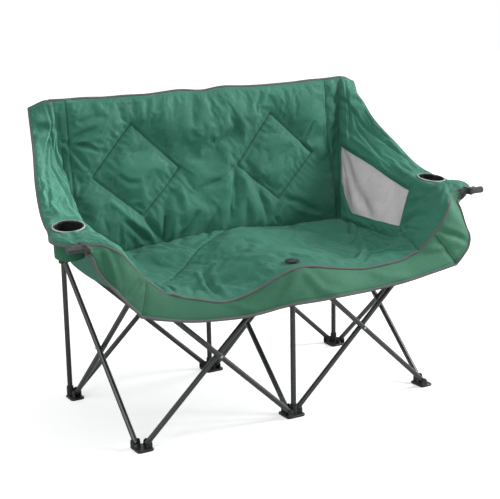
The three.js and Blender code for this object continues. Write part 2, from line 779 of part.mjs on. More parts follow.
const tipPlaces = [outerPlace - 1, outerPlace];

function armPanelSurface(arm) {
  const plane = arm.hubPivot.y + earFace;
  const armFlare = Math.abs(tubeTip(arm).x) + armPastTip - armInnerX;
  const rowCurves = armPanelShares.map((row, station) => {
    const places = row.map(([flare, depth, height], index) => {
      const tipPlace = station === lastStation ? tipPlaces.indexOf(index) : -1;
      const y = tipPlace < 0 ? armRearY - armDepth * depth : plane + tipSetback * tipPlace;
      return point(arm.outward.x * (armInnerX + armFlare * flare), y, armBottom + armRise * height);
    });
    return new THREE.CatmullRomCurve3(places, false, 'catmullrom');
  });
  return (u, v) => {
    const across = rowCurves.map((curve) => curve.getPoint(v));
    return new THREE.CatmullRomCurve3(across, false, 'catmullrom').getPoint(u);
  };
}

const windowLow = windowLowShare;
const windowHigh = windowHighShare;
const windowRear = windowRearShare;
const stationSteps = [...steps(2 * lastStation), windowRear].sort((a, b) => a - b);
const windowFront = Math.round(windowFrontShare * 2 * lastStation) / (2 * lastStation);
const placeSteps = steps(2 * outerPlace);

for (const arm of armTubes) {
  const column = arm.hub[0];
  const surface = armPanelSurface(arm);
  const half = even(panelThickness / 2);
  const isWindow = (i, j) => (
    isWithin(stationSteps[i], windowRear, windowFront) && isWithin(placeSteps[j], windowLow, windowHigh)
  );
  const panel = toSolid(sheet(surface, stationSteps, placeSteps, half, half, isWindow));

  const [ringU, ringV] = [ringStationShare, ringPlaceShare];
  const seat = surface(ringU, ringV);
  const normal = surfaceNormal(surface, ringU, ringV);
  if (normal.z < 0) normal.negate();
  const lipLow = panelThickness / 2 - ringSink;
  const deep = seat.clone().addScaledVector(normal, -2 * panelThickness);
  const shelf = seat.clone().addScaledVector(normal, lipLow - fit);
  const high = seat.clone().addScaledVector(normal, 2 * panelThickness);
  const holeEdge = ringHoleDiameter / 2;
  const collarRadius = holeEdge + ringCollarWall;
  const hole = toSolid(rod(deep, high, holeRadius(collarRadius, ringSides), ringSides));
  const recess = toSolid(rod(shelf, high, holeRadius(ringOuterDiameter / 2, ringSides), ringSides));
  addPiece(`arm_panel_${column}`, toGeometry(cutAll(panel, [hole, recess])), 'fabric');

  const meshUs = stationSteps.filter((u) => u >= windowRear && u <= windowFront);
  const meshVs = placeSteps.filter((v) => v >= windowLow && v <= windowHigh);
  meshUs[0] += meshInsetShare;
  meshUs[meshUs.length - 1] -= meshInsetShare;
  meshVs[0] += meshInsetShare;
  meshVs[meshVs.length - 1] -= meshInsetShare;
  const thin = even(meshThickness / 2);
  addPiece(`arm_mesh_${column}`, toGeometry(toSolid(sheet(surface, meshUs, meshVs, thin, thin))), 'mesh');

  const ringProfile = [
    new THREE.Vector2(holeEdge, -ringDepth),
    new THREE.Vector2(collarRadius, -ringDepth),
    new THREE.Vector2(collarRadius, lipLow),
    new THREE.Vector2(ringOuterDiameter / 2, lipLow),
    new THREE.Vector2(ringOuterDiameter / 2 - ringCollarWall / 2, lipLow + ringLip),
    new THREE.Vector2(holeEdge + ringCollarWall / 2, lipLow + ringLip),
    new THREE.Vector2(holeEdge, lipLow),
    new THREE.Vector2(holeEdge, -ringDepth),
  ];
  const pouchTop = -panelThickness / 2 - pouchDrop;
  const pouchInner = collarRadius + fit;
  const pouchProfile = [
    new THREE.Vector2(0, -pouchDepth),
    new THREE.Vector2(pouchInner * pouchTaperShare + pouchWall, -pouchDepth),
    new THREE.Vector2(pouchInner + pouchWall, pouchTop),
    new THREE.Vector2(pouchInner, pouchTop),
    new THREE.Vector2(pouchInner, -ringDepth - fit),
    new THREE.Vector2(pouchInner * pouchTaperShare, pouchWall - pouchDepth),
    new THREE.Vector2(0, pouchWall - pouchDepth),
  ];
  const turned = (profile) => {
    const geometry = new THREE.LatheGeometry(profile, ringSides);
    geometry.rotateX(Math.PI / 2);
    return toGeometry(toSolid(along(geometry, seat, seat.clone().add(normal))));
  };
  addPiece(`cup_ring_${column}`, turned(ringProfile), 'ring');
  addPiece(`cup_pouch_${column}`, turned(pouchProfile), 'fabric');
}

// Apron: hangs from the seat's front edge and rises at each side to the arm; past the seat's corner each
// edge runs outwards as shares of the column spacing, the apron's reach forwards and its rise
const apronInnerShares = [
  [0.94, 0.5, 0.47], [1, 0.538, 0.624], [1.096, 0.558, 0.915], [1.2, 0.308, 1],
];
const apronOuterShares = [
  [0, 0.817, 0.026], [0.25, 0.83, 0.005], [0.48, 0.846, 0], [0.73, 0.89, 0.06],
  [0.956, 0.962, 0.154], [1.07, 1, 0.248], [1.17, 0.885, 0.573], [1.224, 0.327, 0.769],
];

function apronPlaces(side, shares) {
  return shares.map(([x, y, z]) => (
    point(side * columnSpacing * x, rows.front - apronReach * y, apronLow + apronRise * z)
  ));
}
const seatEdgePlaces = steps(apronTieSteps).map((u) => (
  seatSurface(u, seatFrontY).add(point(0, -fit - apronThickness / 2, 0))
));
const apronInner = new THREE.CatmullRomCurve3([
  ...apronPlaces(-1, apronInnerShares).reverse(),
  ...seatEdgePlaces,
  ...apronPlaces(1, apronInnerShares),
], false, 'catmullrom');
const apronOuter = new THREE.CatmullRomCurve3([
  ...apronPlaces(-1, apronOuterShares.slice(1)).reverse(),
  ...apronPlaces(1, apronOuterShares),
], false, 'catmullrom');
const apronSurface = (u, v) => apronInner.getPointAt(u).lerp(apronOuter.getPointAt(u), v);
const apronHalf = even(apronThickness / 2);
const apronAcross = steps(apronAcrossSteps);
const apronDown = steps(apronDownSteps);
const apronSheet = sheet(apronSurface, apronAcross, apronDown, apronHalf, apronHalf);
addPiece('apron', toGeometry(toSolid(apronSheet)), 'fabric');

// The origin is on the ground under the middle of the chair's outline
const reach = new THREE.Box3().setFromObject(chair);
chair.position.set(-(reach.min.x + reach.max.x) / 2, -(reach.min.y + reach.max.y) / 2, -reach.min.z);

export default chair;
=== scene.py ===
import math

import bpy
import numpy as np
from mathutils import Matrix, Vector


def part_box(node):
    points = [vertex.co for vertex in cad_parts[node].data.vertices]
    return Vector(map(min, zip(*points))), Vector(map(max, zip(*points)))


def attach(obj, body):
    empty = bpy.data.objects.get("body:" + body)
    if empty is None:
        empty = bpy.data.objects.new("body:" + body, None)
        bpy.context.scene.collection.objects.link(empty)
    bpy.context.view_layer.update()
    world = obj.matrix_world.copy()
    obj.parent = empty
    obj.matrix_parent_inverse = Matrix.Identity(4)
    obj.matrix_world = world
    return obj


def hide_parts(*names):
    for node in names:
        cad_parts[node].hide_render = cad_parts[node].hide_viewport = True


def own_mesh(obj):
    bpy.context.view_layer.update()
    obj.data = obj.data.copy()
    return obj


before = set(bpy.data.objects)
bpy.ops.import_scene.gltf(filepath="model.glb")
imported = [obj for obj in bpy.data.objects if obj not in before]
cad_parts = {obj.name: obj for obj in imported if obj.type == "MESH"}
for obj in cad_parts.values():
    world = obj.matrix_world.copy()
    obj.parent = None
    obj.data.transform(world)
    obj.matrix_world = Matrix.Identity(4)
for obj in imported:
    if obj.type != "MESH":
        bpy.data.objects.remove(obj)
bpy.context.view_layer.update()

# Camera: a long lens a little above the arms, off the chair's left front corner.
# Its place and turn are those that bring the feet, poles and crossed tubes onto the photograph's.
# The grid of the frame has its middle on the ground between the six feet; places on it are in millimetres.
POLE_ROW = 260.0
pole_low, pole_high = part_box("pole_back_centre")
GRID_SHIFT = (pole_low[1] + pole_high[1]) / 2 - POLE_ROW / 1000
LENS_PIXELS = 1242.946
PHOTO_WIDTH = 500
SENSOR = 36.0


def on_grid(places):
    """Millimetres on the frame's grid to metres in the row's frame: a shift along Y and a scale."""
    places = np.asarray(places, float) / 1000
    return places + np.array([0.0, GRID_SHIFT, 0.0])


yaw, pitch, roll = np.radians([30.401, 13.618, -1.02])
ahead = np.array([math.sin(yaw) * math.cos(pitch), math.cos(yaw) * math.cos(pitch), -math.sin(pitch)])
level = np.array([math.cos(yaw), -math.sin(yaw), 0.0])
above = np.cross(level, ahead)
sideways = math.cos(roll) * level + math.sin(roll) * above
upwards = math.cos(roll) * above - math.sin(roll) * level
camera_data = bpy.data.cameras.new("camera")
camera_data.lens = SENSOR * LENS_PIXELS / PHOTO_WIDTH
camera_data.sensor_width = SENSOR
camera_data.sensor_fit = "HORIZONTAL"
camera = bpy.data.objects.new("camera", camera_data)
bpy.context.collection.objects.link(camera)
stand = on_grid([-1876.03, -3216.86, 1362.49])
turn = np.column_stack([sideways, upwards, -ahead])
camera.matrix_world = Matrix([[*turn[row], stand[row]] for row in range(3)] + [[0, 0, 0, 1]])
bpy.context.scene.camera = camera


# Frame tubes: drawn steel tube 16 mm across in a dark satin lacquer, cut, drilled and riveted.
# The lacquer is thin and even, with a faint orange peel and a little wear that shows brighter.
class Wire:
    """A socket of a shader that can stand in a sum: each operator adds the Math node that works it out."""

    def __init__(self, finish, socket):
        self.finish, self.socket = finish, socket

    def math(self, operation, *others):
        """What a Math node makes of this socket and the others."""
        return self.finish.node("ShaderNodeMath", {"operation": operation}, dict(enumerate((self, *others))))

    def __add__(self, other):
        return self.math("ADD", other)

    __radd__ = __add__

    def __mul__(self, other):
        return self.math("MULTIPLY", other)

    __rmul__ = __mul__

    def __sub__(self, other):
        return self.math("SUBTRACT", other)

    def __rsub__(self, other):
        return self.math("MULTIPLY", -1.0).math("ADD", other)

    def sine(self):
        """sin of the value, in radians."""
        return self.math("SINE")

    def other(self, output):
        """Another output of the node that this socket belongs to."""
        return Wire(self.finish, self.socket.node.outputs[output])

    def between(self, low, high):
        """0 below low, 1 above high and a straight rise between them."""
        limits = {"From Min": low, "From Max": high}
        return self.finish.node("ShaderNodeMapRange", {"clamp": True}, {"Value": self, **limits})


class Finish:
    """A material round one Principled shader; node() adds any node and hands back one of its outputs."""

    def __init__(self, name, **fixed):
        self.material = bpy.data.materials.new(name)
        self.material.use_nodes = True
        self.tree = self.material.node_tree
        self.shader = self.tree.nodes["Principled BSDF"]
        for socket, value in fixed.items():
            self.feed(self.shader, socket.replace("_", " ").title().replace("Ior", "IOR"), value)

    def feed(self, node, name, value):
        """Links a socket of a node to a Wire, or sets it to a value."""
        socket = node.inputs[name]
        if isinstance(value, Wire):
            self.tree.links.new(value.socket, socket)
        elif socket.type == "RGBA" and len(value) == 3:
            socket.default_value = (*value, 1.0)
        else:
            socket.default_value = value

    def node(self, kind, settings=None, sockets=None, output=0):
        """Adds a node, sets its settings, then feeds its sockets."""
        node = self.tree.nodes.new(kind)
        for name, value in (settings or {}).items():
            setattr(node, name, value)
        for name, value in (sockets or {}).items():
            self.feed(node, name, value)
        return Wire(self, node.outputs[output])

    def place(self):
        """The place on the piece, in metres."""
        return self.node("ShaderNodeTexCoord", output="Object")

    def noise(self, scale, detail=3.0, roughness=0.55, distortion=0.0):
        """Cloudy noise over the piece, from 0 to 1."""
        sockets = {"Scale": scale, "Detail": detail, "Roughness": roughness, "Distortion": distortion}
        return self.node("ShaderNodeTexNoise", sockets={"Vector": self.place(), **sockets})

    def blend(self, share, first, second):
        """A colour part way from first to second."""
        return self.node("ShaderNodeMix", {"data_type": "RGBA"}, {0: share, 6: first, 7: second}, output=2)

    def vector(self, operation, *places, output=0):
        """What a Vector Math node makes of the places."""
        return self.node("ShaderNodeVectorMath", {"operation": operation}, dict(enumerate(places)), output)

    def bump(self, height, distance, strength, under=None):
        """A normal tilted by a height, over the one under it."""
        sockets = {"Height": height, "Distance": distance, "Strength": strength}
        if under:
            sockets["Normal"] = under
        return self.node("ShaderNodeBump", sockets=sockets)

    def use(self, **sockets):
        """Feeds the shader's sockets and hands back the material."""
        for name, value in sockets.items():
            self.feed(self.shader, name.replace("_", " ").title(), value)
        return self.material


def paint(material, *starts):
    """Gives a material to every CAD node whose name starts so."""
    for name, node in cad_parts.items():
        if name.startswith(starts):
            for slot in node.material_slots:
                slot.material = material


STEEL_DARK, STEEL_WORN = (0.024, 0.025, 0.027), (0.065, 0.067, 0.070)
lacquer = Finish("steel_lacquer", metallic=0.25, coat_weight=0.35, coat_roughness=0.25)
peel = lacquer.noise(900.0, detail=2.0)
wear = lacquer.noise(38.0, detail=5.0, distortion=0.6).between(0.56, 0.74)
paint(
    lacquer.use(
        base_color=lacquer.blend(wear * 0.6, STEEL_DARK, STEEL_WORN),
        roughness=0.34 + wear * 0.14,
        normal=lacquer.bump(peel, 0.0002, 0.35),
    ),
    "tube_", "pole_back_", "post_",
)


# Moulded feet, sliders, hubs and caps: black polymer with a fine grain from the mould.
# Handling and ground dust make it a little paler and duller in patches.
MOULD_BLACK, MOULD_DUSTY = (0.012, 0.012, 0.013), (0.035, 0.034, 0.032)
moulding = Finish("black_moulding", specular_ior_level=0.45)
grain = moulding.noise(2600.0, detail=1.0)
dust = moulding.noise(60.0, detail=4.0).between(0.5, 0.8)
paint(
    moulding.use(
        base_color=moulding.blend(dust * 0.7, MOULD_BLACK, MOULD_DUSTY),
        roughness=0.42 + dust * 0.2 + grain * 0.06,
        normal=moulding.bump(grain, 0.00015, 0.5),
    ),
    "foot_", "slider_", "hub_", "pole_cap_", "seat_fitting",
)


# Rivets: zinc-plated steel pins, one through each crossing and each lug, domed over by the riveting tool.
# The plating is faintly brushed and has gone a little dull.
ZINC_BRIGHT, ZINC_DULL = (0.62, 0.63, 0.64), (0.38, 0.385, 0.39)
zinc = Finish("zinc_rivet", metallic=1.0)
tarnish = zinc.noise(420.0, detail=4.0)
scratches = zinc.noise(1500.0, detail=2.0, distortion=1.5)
paint(
    zinc.use(
        base_color=zinc.blend(tarnish, ZINC_BRIGHT, ZINC_DULL),
        roughness=0.26 + tarnish * 0.2,
        normal=zinc.bump(scratches, 0.0001, 0.4),
    ),
    "rivet_",
)


# Arm-tip fittings: one piece of filled nylon pushed over the end of each arm tube, in a dark satin grey.
# Its face keeps the fine ribs of the mould's tool marks.
GRIP_GREY, GRIP_PALE = (0.022, 0.023, 0.025), (0.055, 0.056, 0.060)
grip = Finish("grip_nylon", specular_ior_level=0.3, coat_weight=0.08, coat_roughness=0.2)
flow = grip.noise(150.0, detail=4.0, distortion=0.8)
ribs = grip.node(
    "ShaderNodeTexWave", {"bands_direction": "X", "wave_profile": "SIN"},
    {"Vector": grip.place(), "Scale": 140.0}, output="Fac",
)
paint(
    grip.use(
        base_color=grip.blend(flow, GRIP_GREY, GRIP_PALE),
        roughness=0.3 + flow * 0.15,
        normal=grip.bump(ribs, 0.0006, 0.6),
    ),
    "arm_tip_",
)


# Quilted back: two layers of coated polyester with loose wadding between, sewn through along a diamond
# on each side and hung from the three poles, so that it is slack between them and creased where it is held.
BACK_LOW, BACK_HIGH = 452.0, 935.0
BACK_REAR, BACK_LEAN = 249.09, 40.0
BACK_SKIN, BACK_EDGE, BACK_FULL = 2.6, 3.2, 14.0
BACK_GRID = (191, 95)
BACK_SIDE = ((455, 505, 211), (560, 513, 232), (706, 517, 241), (830, 521, 247), (935, 525, 249))
DIAMONDS = (
    ((-263, 845), (-403, 693), (-248, 560), (-103, 693)),
    ((238, 838), (105, 681), (248, 557), (396, 695)),
)
SLEEVE_SEAMS = (
    ((-474, 935), (-470, 800), (-468, 640), (-470, 452)),
    ((451, 935), (457, 800), (470, 640), (480, 452)),
)
BACK_FOLDS = (
    ([(-42, 925), (-54, 875), (-59, 819)], 16, -4),
    ([(207, 913), (188, 882), (165, 861)], 10, -4),
    ([(130, 816), (63, 776), (-34, 741)], 26, -8),
    ([(87, 858), (12, 813), (-82, 777)], 30, 7),
    ([(100, 689), (35, 639), (-33, 624)], 14, -8),
    ([(99, 680), (80, 615), (64, 540), (53, 496)], 17, -12),
    ([(117, 668), (132, 583), (145, 523), (145, 477)], 16, 9),
    ([(169, 605), (189, 544), (203, 483)], 13, -7),
    ([(-110, 635), (-152, 615), (-193, 564)], 12, -7),
    ([(-138, 638), (-106, 610), (-112, 561)], 11, 5),
    ([(-246, 558), (-219, 517), (-190, 465)], 11, -9),
    ([(-169, 555), (-184, 462)], 12, -10),
    ([(-88, 583), (-144, 533), (-169, 470)], 16, 8),
    ([(-371, 640), (-300, 558), (-211, 485)], 18, 7),
    ([(-330, 560), (-260, 500), (-215, 468)], 10, -7),
    ([(-60, 560), (-110, 500), (-150, 466)], 9, -7),
    ([(-20, 540), (-70, 490), (-120, 462)], 11, 6),
    ([(-327, 695), (-287, 667), (-246, 662)], 8, -4),
    ([(-472, 804), (-426, 833), (-379, 847)], 7, -7),
    ([(-472, 804), (-421, 793), (-377, 773)], 7, -7),
    ([(-472, 804), (-437, 755), (-417, 717)], 8, -7),
    ([(-472, 804), (-420, 812), (-350, 815)], 9, 4),
    ([(-472, 804), (-510, 810), (-516, 836)], 7, -5),
    ([(252, 554), (321, 539), (413, 484)], 13, -7),
    ([(358, 727), (394, 687)], 8, -4),
    ([(396, 800), (367, 742)], 6, -5),
    ([(251, 544), (224, 507), (238, 470)], 9, -6),
    ([(-266, 849), (-177, 873), (-120, 887)], 20, 4),
    ([(-450, 859), (-384, 877), (-332, 879)], 11, -4),
    ([(300, 520), (360, 500), (430, 470)], 9, 4),
)
SEAM_WIDTH, SEAM_DEPTH = 4.2, 6.0
TUCK_WIDTH, TUCK_DEPTH = 20.0, 4.0
PUCKER_PITCH, PUCKER_REACH, PUCKER_DEPTH = 23.0, 20.0, 0.9


def smooth(t):
    """The smooth step 3t^2 - 2t^3 between 0 and 1."""
    t = np.clip(t, 0.0, 1.0)
    return t * t * (3 - 2 * t)


def mix(first, second, t):
    """a + (b - a)t: the place a share t of the way from first to second."""
    return first + (second - first) * t


def bell(distance, width):
    """exp(-(d / w)^2): 1 on a line, near 0 two widths away."""
    return np.exp(-((distance / width) ** 2))


def swell(t, power):
    """1 in the middle of 0..1 and 0 at both ends: 1 - |2t - 1|^power."""
    return 1 - np.abs(2 * np.clip(t, 0, 1) - 1) ** power


RIPPLE_WAVES = 14


def ripple(x, y, wavelength, seed):
    """Soft uneven hills: the mean of sine waves of nearly one length in seeded directions."""
    source = np.random.default_rng(seed)
    total = np.zeros(np.broadcast(x, y).shape)
    for _ in range(RIPPLE_WAVES):
        angle, phase = source.uniform(0, 2 * math.pi, 2)
        pitch = wavelength * source.uniform(0.6, 1.7)
        total += np.sin((x * math.cos(angle) + y * math.sin(angle)) * 2 * math.pi / pitch + phase)
    return total / math.sqrt(RIPPLE_WAVES)


def near_line(x, y, points):
    """Distance to a broken line, and the length along it of the nearest place, as arrays."""
    best = np.full(np.broadcast(x, y).shape, np.inf)
    along, done = np.zeros_like(best), 0.0
    for (ax, ay), (bx, by) in zip(points[:-1], points[1:]):
        length = math.hypot(bx - ax, by - ay)
        t = np.clip(((x - ax) * (bx - ax) + (y - ay) * (by - ay)) / length**2, 0, 1)
        distance = np.hypot(x - ax - t * (bx - ax), y - ay - t * (by - ay))
        closer = distance < best
        best = np.where(closer, distance, best)
        along = np.where(closer, done + t * length, along)
        done += length
    return best, along, done


def folded(x, y, folds):
    """Height of listed folds: a bell across each line with a lower one beside it, fading at its ends."""
    total = np.zeros(np.broadcast(x, y).shape)
    for points, width, height in folds:
        distance, along, length = near_line(x, y, points)
        fade = smooth(along / length * 4 + 0.25) * smooth((1 - along / length) * 3 + 0.1)
        total += height * fade * (bell(distance, width) - 0.35 * bell(distance - 1.9 * width, width))
    return total


def quilted(x, y, outline, closed=True):
    """Depth of a sewn line: a narrow valley in a wide one, puckered along the thread."""
    points = list(outline) + ([outline[0]] if closed else [])
    distance, along, _ = near_line(x, y, points)
    pucker = np.sin(2 * math.pi * along / PUCKER_PITCH + 2.2 * np.sin(along / 41.0))
    valley = SEAM_DEPTH * bell(distance, SEAM_WIDTH) + TUCK_DEPTH * bell(distance, TUCK_WIDTH)
    return valley + PUCKER_DEPTH * pucker * bell(distance, PUCKER_REACH)


def unit(vectors):
    """v / |v| for each vector."""
    return vectors / np.maximum(np.linalg.norm(vectors, axis=-1, keepdims=True), 1e-12)


def facing(places, towards):
    """Unit normals of a grid of places, the cross product of its differences, turned to one side."""
    normals = unit(np.cross(np.gradient(places, axis=0), np.gradient(places, axis=1)))
    return -normals if np.mean(normals @ np.array(towards, float)) < 0 else normals


def body_of(name, places, faces, weave):
    """An object made of places in metres and faces, with each place's spot in the weave in metres too."""
    mesh = bpy.data.meshes.new(name)
    mesh.from_pydata(places.tolist(), [], faces)
    corners = np.empty(len(mesh.loops), np.int32)
    mesh.loops.foreach_get("vertex_index", corners)
    mesh.uv_layers.new(name="weave").data.foreach_set("uv", weave[corners].ravel())
    mesh.polygons.foreach_set("use_smooth", np.ones(len(faces), bool))
    piece = bpy.data.objects.new(name, mesh)
    bpy.context.collection.objects.link(piece)
    return piece


def shell(name, front, rear, flat, open_cells=None):
    """A closed body between two grids of places in millimetres, joined round the edges and open cells."""
    rows, columns = front.shape[:2]
    index = np.arange(rows * columns).reshape(rows, columns)
    kept = np.ones((rows - 1, columns - 1), bool) if open_cells is None else ~open_cells
    a, b, c, d = index[:-1, :-1], index[1:, :-1], index[1:, 1:], index[:-1, 1:]
    faces = np.stack([a, b, c, d], -1)[kept]
    below = faces[:, ::-1] + rows * columns
    padded = np.pad(kept, 1)
    sides = []
    for neighbour, first, second in (
        (padded[1:-1, :-2], a, b), (padded[2:, 1:-1], b, c),
        (padded[1:-1, 2:], c, d), (padded[:-2, 1:-1], d, a),
    ):
        edge = kept & ~neighbour
        first, second = first[edge], second[edge]
        sides.append(np.stack([second, first, first + rows * columns, second + rows * columns], -1))
    faces = np.concatenate([faces, below, *sides])
    places = on_grid(np.concatenate([front.reshape(-1, 3), rear.reshape(-1, 3)]))
    corners = places[faces]
    outward = np.cross(corners[:, 2] - corners[:, 0], corners[:, 3] - corners[:, 1])
    if np.sum(outward * corners.mean(1)) < 0:
        faces = faces[:, ::-1]
    used, faces = np.unique(faces, return_inverse=True)
    share = np.stack(np.meshgrid(np.linspace(0, 1, rows), np.linspace(0, 1, columns), indexing="ij"), -1)
    weave = np.concatenate([share.reshape(-1, 2)] * 2)[used] * np.asarray(flat) / 1000
    return body_of(name, places[used], faces.reshape(-1, 4).tolist(), weave)


def corners_used(open_cells):
    """Which corners of a shell's two layers are kept when some of its cells are open."""
    kept = np.pad(~open_cells, 1)
    used = (kept[1:, 1:] | kept[:-1, 1:] | kept[1:, :-1] | kept[:-1, :-1]).ravel()
    return np.concatenate([used, used])


STITCH_REACH, STITCH_HALF, HEM_THINNER = 16.0, 1.2, 1.9


def stitch(piece, distance, used=slice(None)):
    """Keeps how near each corner of both layers is to a sewn line: 1 on it, 0 from STITCH_REACH away."""
    nearness = np.clip(1 - np.tile(distance.ravel(), 2)[used] / STITCH_REACH, 0, 1)
    piece.data.attributes.new("seam", "FLOAT", "POINT").data.foreach_set("value", nearness.astype(np.float32))


def rounder(piece):
    """One level of subdivision surface, the same in the view and in the render."""
    soften = piece.modifiers.new("soften", "SUBSURF")
    soften.levels = soften.render_levels = 1


CLOTH_STEPS = 16
CLOTH = {
    "quality": 5, "mass": 0.3, "tension_stiffness": 25.0, "compression_stiffness": 25.0,
    "shear_stiffness": 6.0, "bending_stiffness": 0.35, "air_damping": 2.0, "use_pressure": True,
    "vertex_group_mass": "sewn", "pin_stiffness": 50.0,
}


def billow(piece, held, pressure, slack, cap, used=slice(None)):
    """Lets the front of a padded piece swell and crease as cloth does, a little larger than its place.

    held is 1 where the front is sewn down and 0 where it is free; no corner moves further than cap metres.
    """
    held = np.concatenate([held.ravel(), np.ones(held.size)])[used]
    sewn = piece.vertex_groups.new(name="sewn")
    for corner, share in enumerate(held.tolist()):
        sewn.add([corner], share, "REPLACE")
    cloth = piece.modifiers.new("cloth", "CLOTH")
    for name, value in CLOTH.items():
        setattr(cloth.settings, name, value)
    cloth.settings.uniform_pressure_force = pressure
    cloth.settings.shrink_min = -slack
    cloth.settings.effector_weights.gravity = 0.0
    cloth.collision_settings.use_collision = False
    cloth.point_cache.frame_end = CLOTH_STEPS
    scene = bpy.context.scene
    for frame_number in range(1, CLOTH_STEPS + 1):
        scene.frame_set(frame_number)
    settled = piece.evaluated_get(bpy.context.evaluated_depsgraph_get()).data
    places = np.empty((len(piece.data.vertices), 3))
    moved = np.empty_like(places)
    piece.data.vertices.foreach_get("co", places.ravel())
    settled.vertices.foreach_get("co", moved.ravel())
    step = (moved - places) * (1 - held)[:, None]
    length = np.linalg.norm(step, axis=1, keepdims=True)
    step *= np.minimum(1, cap / np.maximum(length, 1e-9))
    piece.data.vertices.foreach_set("co", (places + step).ravel())
    piece.modifiers.remove(cloth)
    piece.vertex_groups.remove(sewn)
    piece.data.update()
    scene.frame_set(1)


def gathers(piece):
    """Gives the piece its own copy of its mesh."""
    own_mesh(piece)


FABRIC_GREEN, FABRIC_PALE, FABRIC_DEEP = (0.040, 0.195, 0.133), (0.058, 0.236, 0.166), (0.029, 0.155, 0.104)
# Painted shade: the darker green towards which a finish paints the half on the chair's left.
PAINTED_SHADE_GREEN = (0.004, 0.080, 0.036)
THREAD_PITCH = 0.0009
THREADS = 2 * math.pi / THREAD_PITCH


def woven(name, colour, pale, deep, crumple=1.0, weave=0.00022, painted_shade_half=0.0):
    """Coated plain-weave polyester: two crossed sets of threads, an uneven dye and fine crumples.

    The last argument is how far the half on the chair's left is painted towards a darker green: painted
    shade.
    """
    cloth = Finish(name, sheen_weight=0.05, sheen_roughness=0.5, specular_ior_level=0.22)
    uv = cloth.node("ShaderNodeUVMap", {"uv_map": "weave"})
    split = cloth.node("ShaderNodeSeparateXYZ", sockets={"Vector": uv})
    threads = (split * THREADS).sine() * (split.other("Y") * THREADS).sine()
    slub = cloth.noise(240.0, detail=2.0, distortion=0.3)
    patches = cloth.noise(7.0, detail=4.0)
    crumples = cloth.noise(42.0, detail=5.0, roughness=0.6, distortion=0.9)
    dyed = cloth.blend(patches.between(0.35, 0.7), deep, colour)
    dyed = cloth.blend(slub.between(0.45, 0.75) * 0.45, dyed, pale)
    dyed = cloth.blend((threads * 0.5 + 0.5) * 0.18, dyed, deep)
    if painted_shade_half:
        # Painted shade: the half on the chair's left is painted towards a darker green.
        across = cloth.node("ShaderNodeSeparateXYZ", sockets={"Vector": cloth.place()}, output=0)
        dyed = cloth.blend((1 - across.between(-0.16, 0.12)) * painted_shade_half, dyed, PAINTED_SHADE_GREEN)
    seam = cloth.node("ShaderNodeAttribute", {"attribute_name": "seam"}, output="Fac")
    shaded_groove = seam.between(1 - 3.2 * STITCH_HALF / STITCH_REACH, 1 - STITCH_HALF / STITCH_REACH)
    # Painted shade: the cloth is painted darker in the groove along each sewn line.
    dyed = cloth.blend(shaded_groove * 0.8, dyed, tuple(0.42 * part for part in deep))
    fine = cloth.bump(threads, weave, 0.5)
    fine = cloth.bump(shaded_groove * -1, 0.0012, 0.6, under=fine)
    return cloth.use(
        base_color=dyed,
        roughness=0.58 + slub * 0.16,
        normal=cloth.bump(crumples, 0.0022 * crumple, 0.5, under=fine),
    )


fabric_finish = woven("green_polyester", FABRIC_GREEN, FABRIC_PALE, FABRIC_DEEP)

share_x, share_z = np.meshgrid(
    np.linspace(-1, 1, BACK_GRID[0]), np.linspace(0, 1, BACK_GRID[1]), indexing="ij",
)
side_z, side_x, side_y = np.asarray(BACK_SIDE, float).T
level_z = mix(BACK_LOW, BACK_HIGH, share_z)
back_x = share_x * (np.interp(level_z, side_z, side_x) - 1.5)
top_dip = 5 * np.sin(math.pi * back_x / 500) ** 2 + 5 * bell(back_x + 12, 60)
top_dip = top_dip + 1.2 * ripple(back_x, 0, 120, 3)
back_z = mix(BACK_LOW, BACK_HIGH - top_dip, share_z)
back_y = BACK_REAR - BACK_LEAN * (1 - smooth(share_z / 0.7))
back_y = mix(back_y, np.interp(level_z, side_z, side_y), smooth((np.abs(share_x) - 0.9) / 0.1))
edge = swell((share_x + 1) / 2, 34) * swell(share_z, 18)
puff = BACK_EDGE + (BACK_FULL - BACK_EDGE) * edge
detail = folded(back_x, back_z, BACK_FOLDS) + 1.4 * ripple(back_x, back_z, 150, 11)
detail = detail + 0.6 * ripple(back_x, back_z, 60, 12)
seam_distance = np.full(back_x.shape, np.inf)
for outline in DIAMONDS:
    detail = detail - quilted(back_x, back_z, outline)
    seam_distance = np.minimum(seam_distance, near_line(back_x, back_z, [*outline, outline[0]])[0])
for line in SLEEVE_SEAMS:
    away = near_line(back_x, back_z, line)[0]
    detail = detail - 3.5 * bell(away, 3.5) - 2.5 * bell(away, 15)
    seam_distance = np.minimum(seam_distance, away)
detail = detail - 9 * smooth((np.abs(share_x) - 0.91) / 0.06)
sewn = np.maximum(np.clip(1.5 - seam_distance / 4.5, 0, 1), 1 - smooth(edge * 1.3))
back_front = np.stack([back_x, back_y - puff - np.maximum(detail, -0.8 * puff) * edge, back_z], -1)
back_behind = np.stack([back_x, back_y + BACK_SKIN * np.ones_like(back_x), back_z], -1)
back = shell("back_panel", back_front, back_behind, (2 * 505, BACK_HIGH - BACK_LOW))
billow(back, sewn, pressure=2.0, slack=0.025, cap=0.016)
stitch(back, seam_distance)
rounder(back)
back.data.materials.append(fabric_finish)
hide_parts("back_pad")
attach(back, "back_centre")
gathers(back)


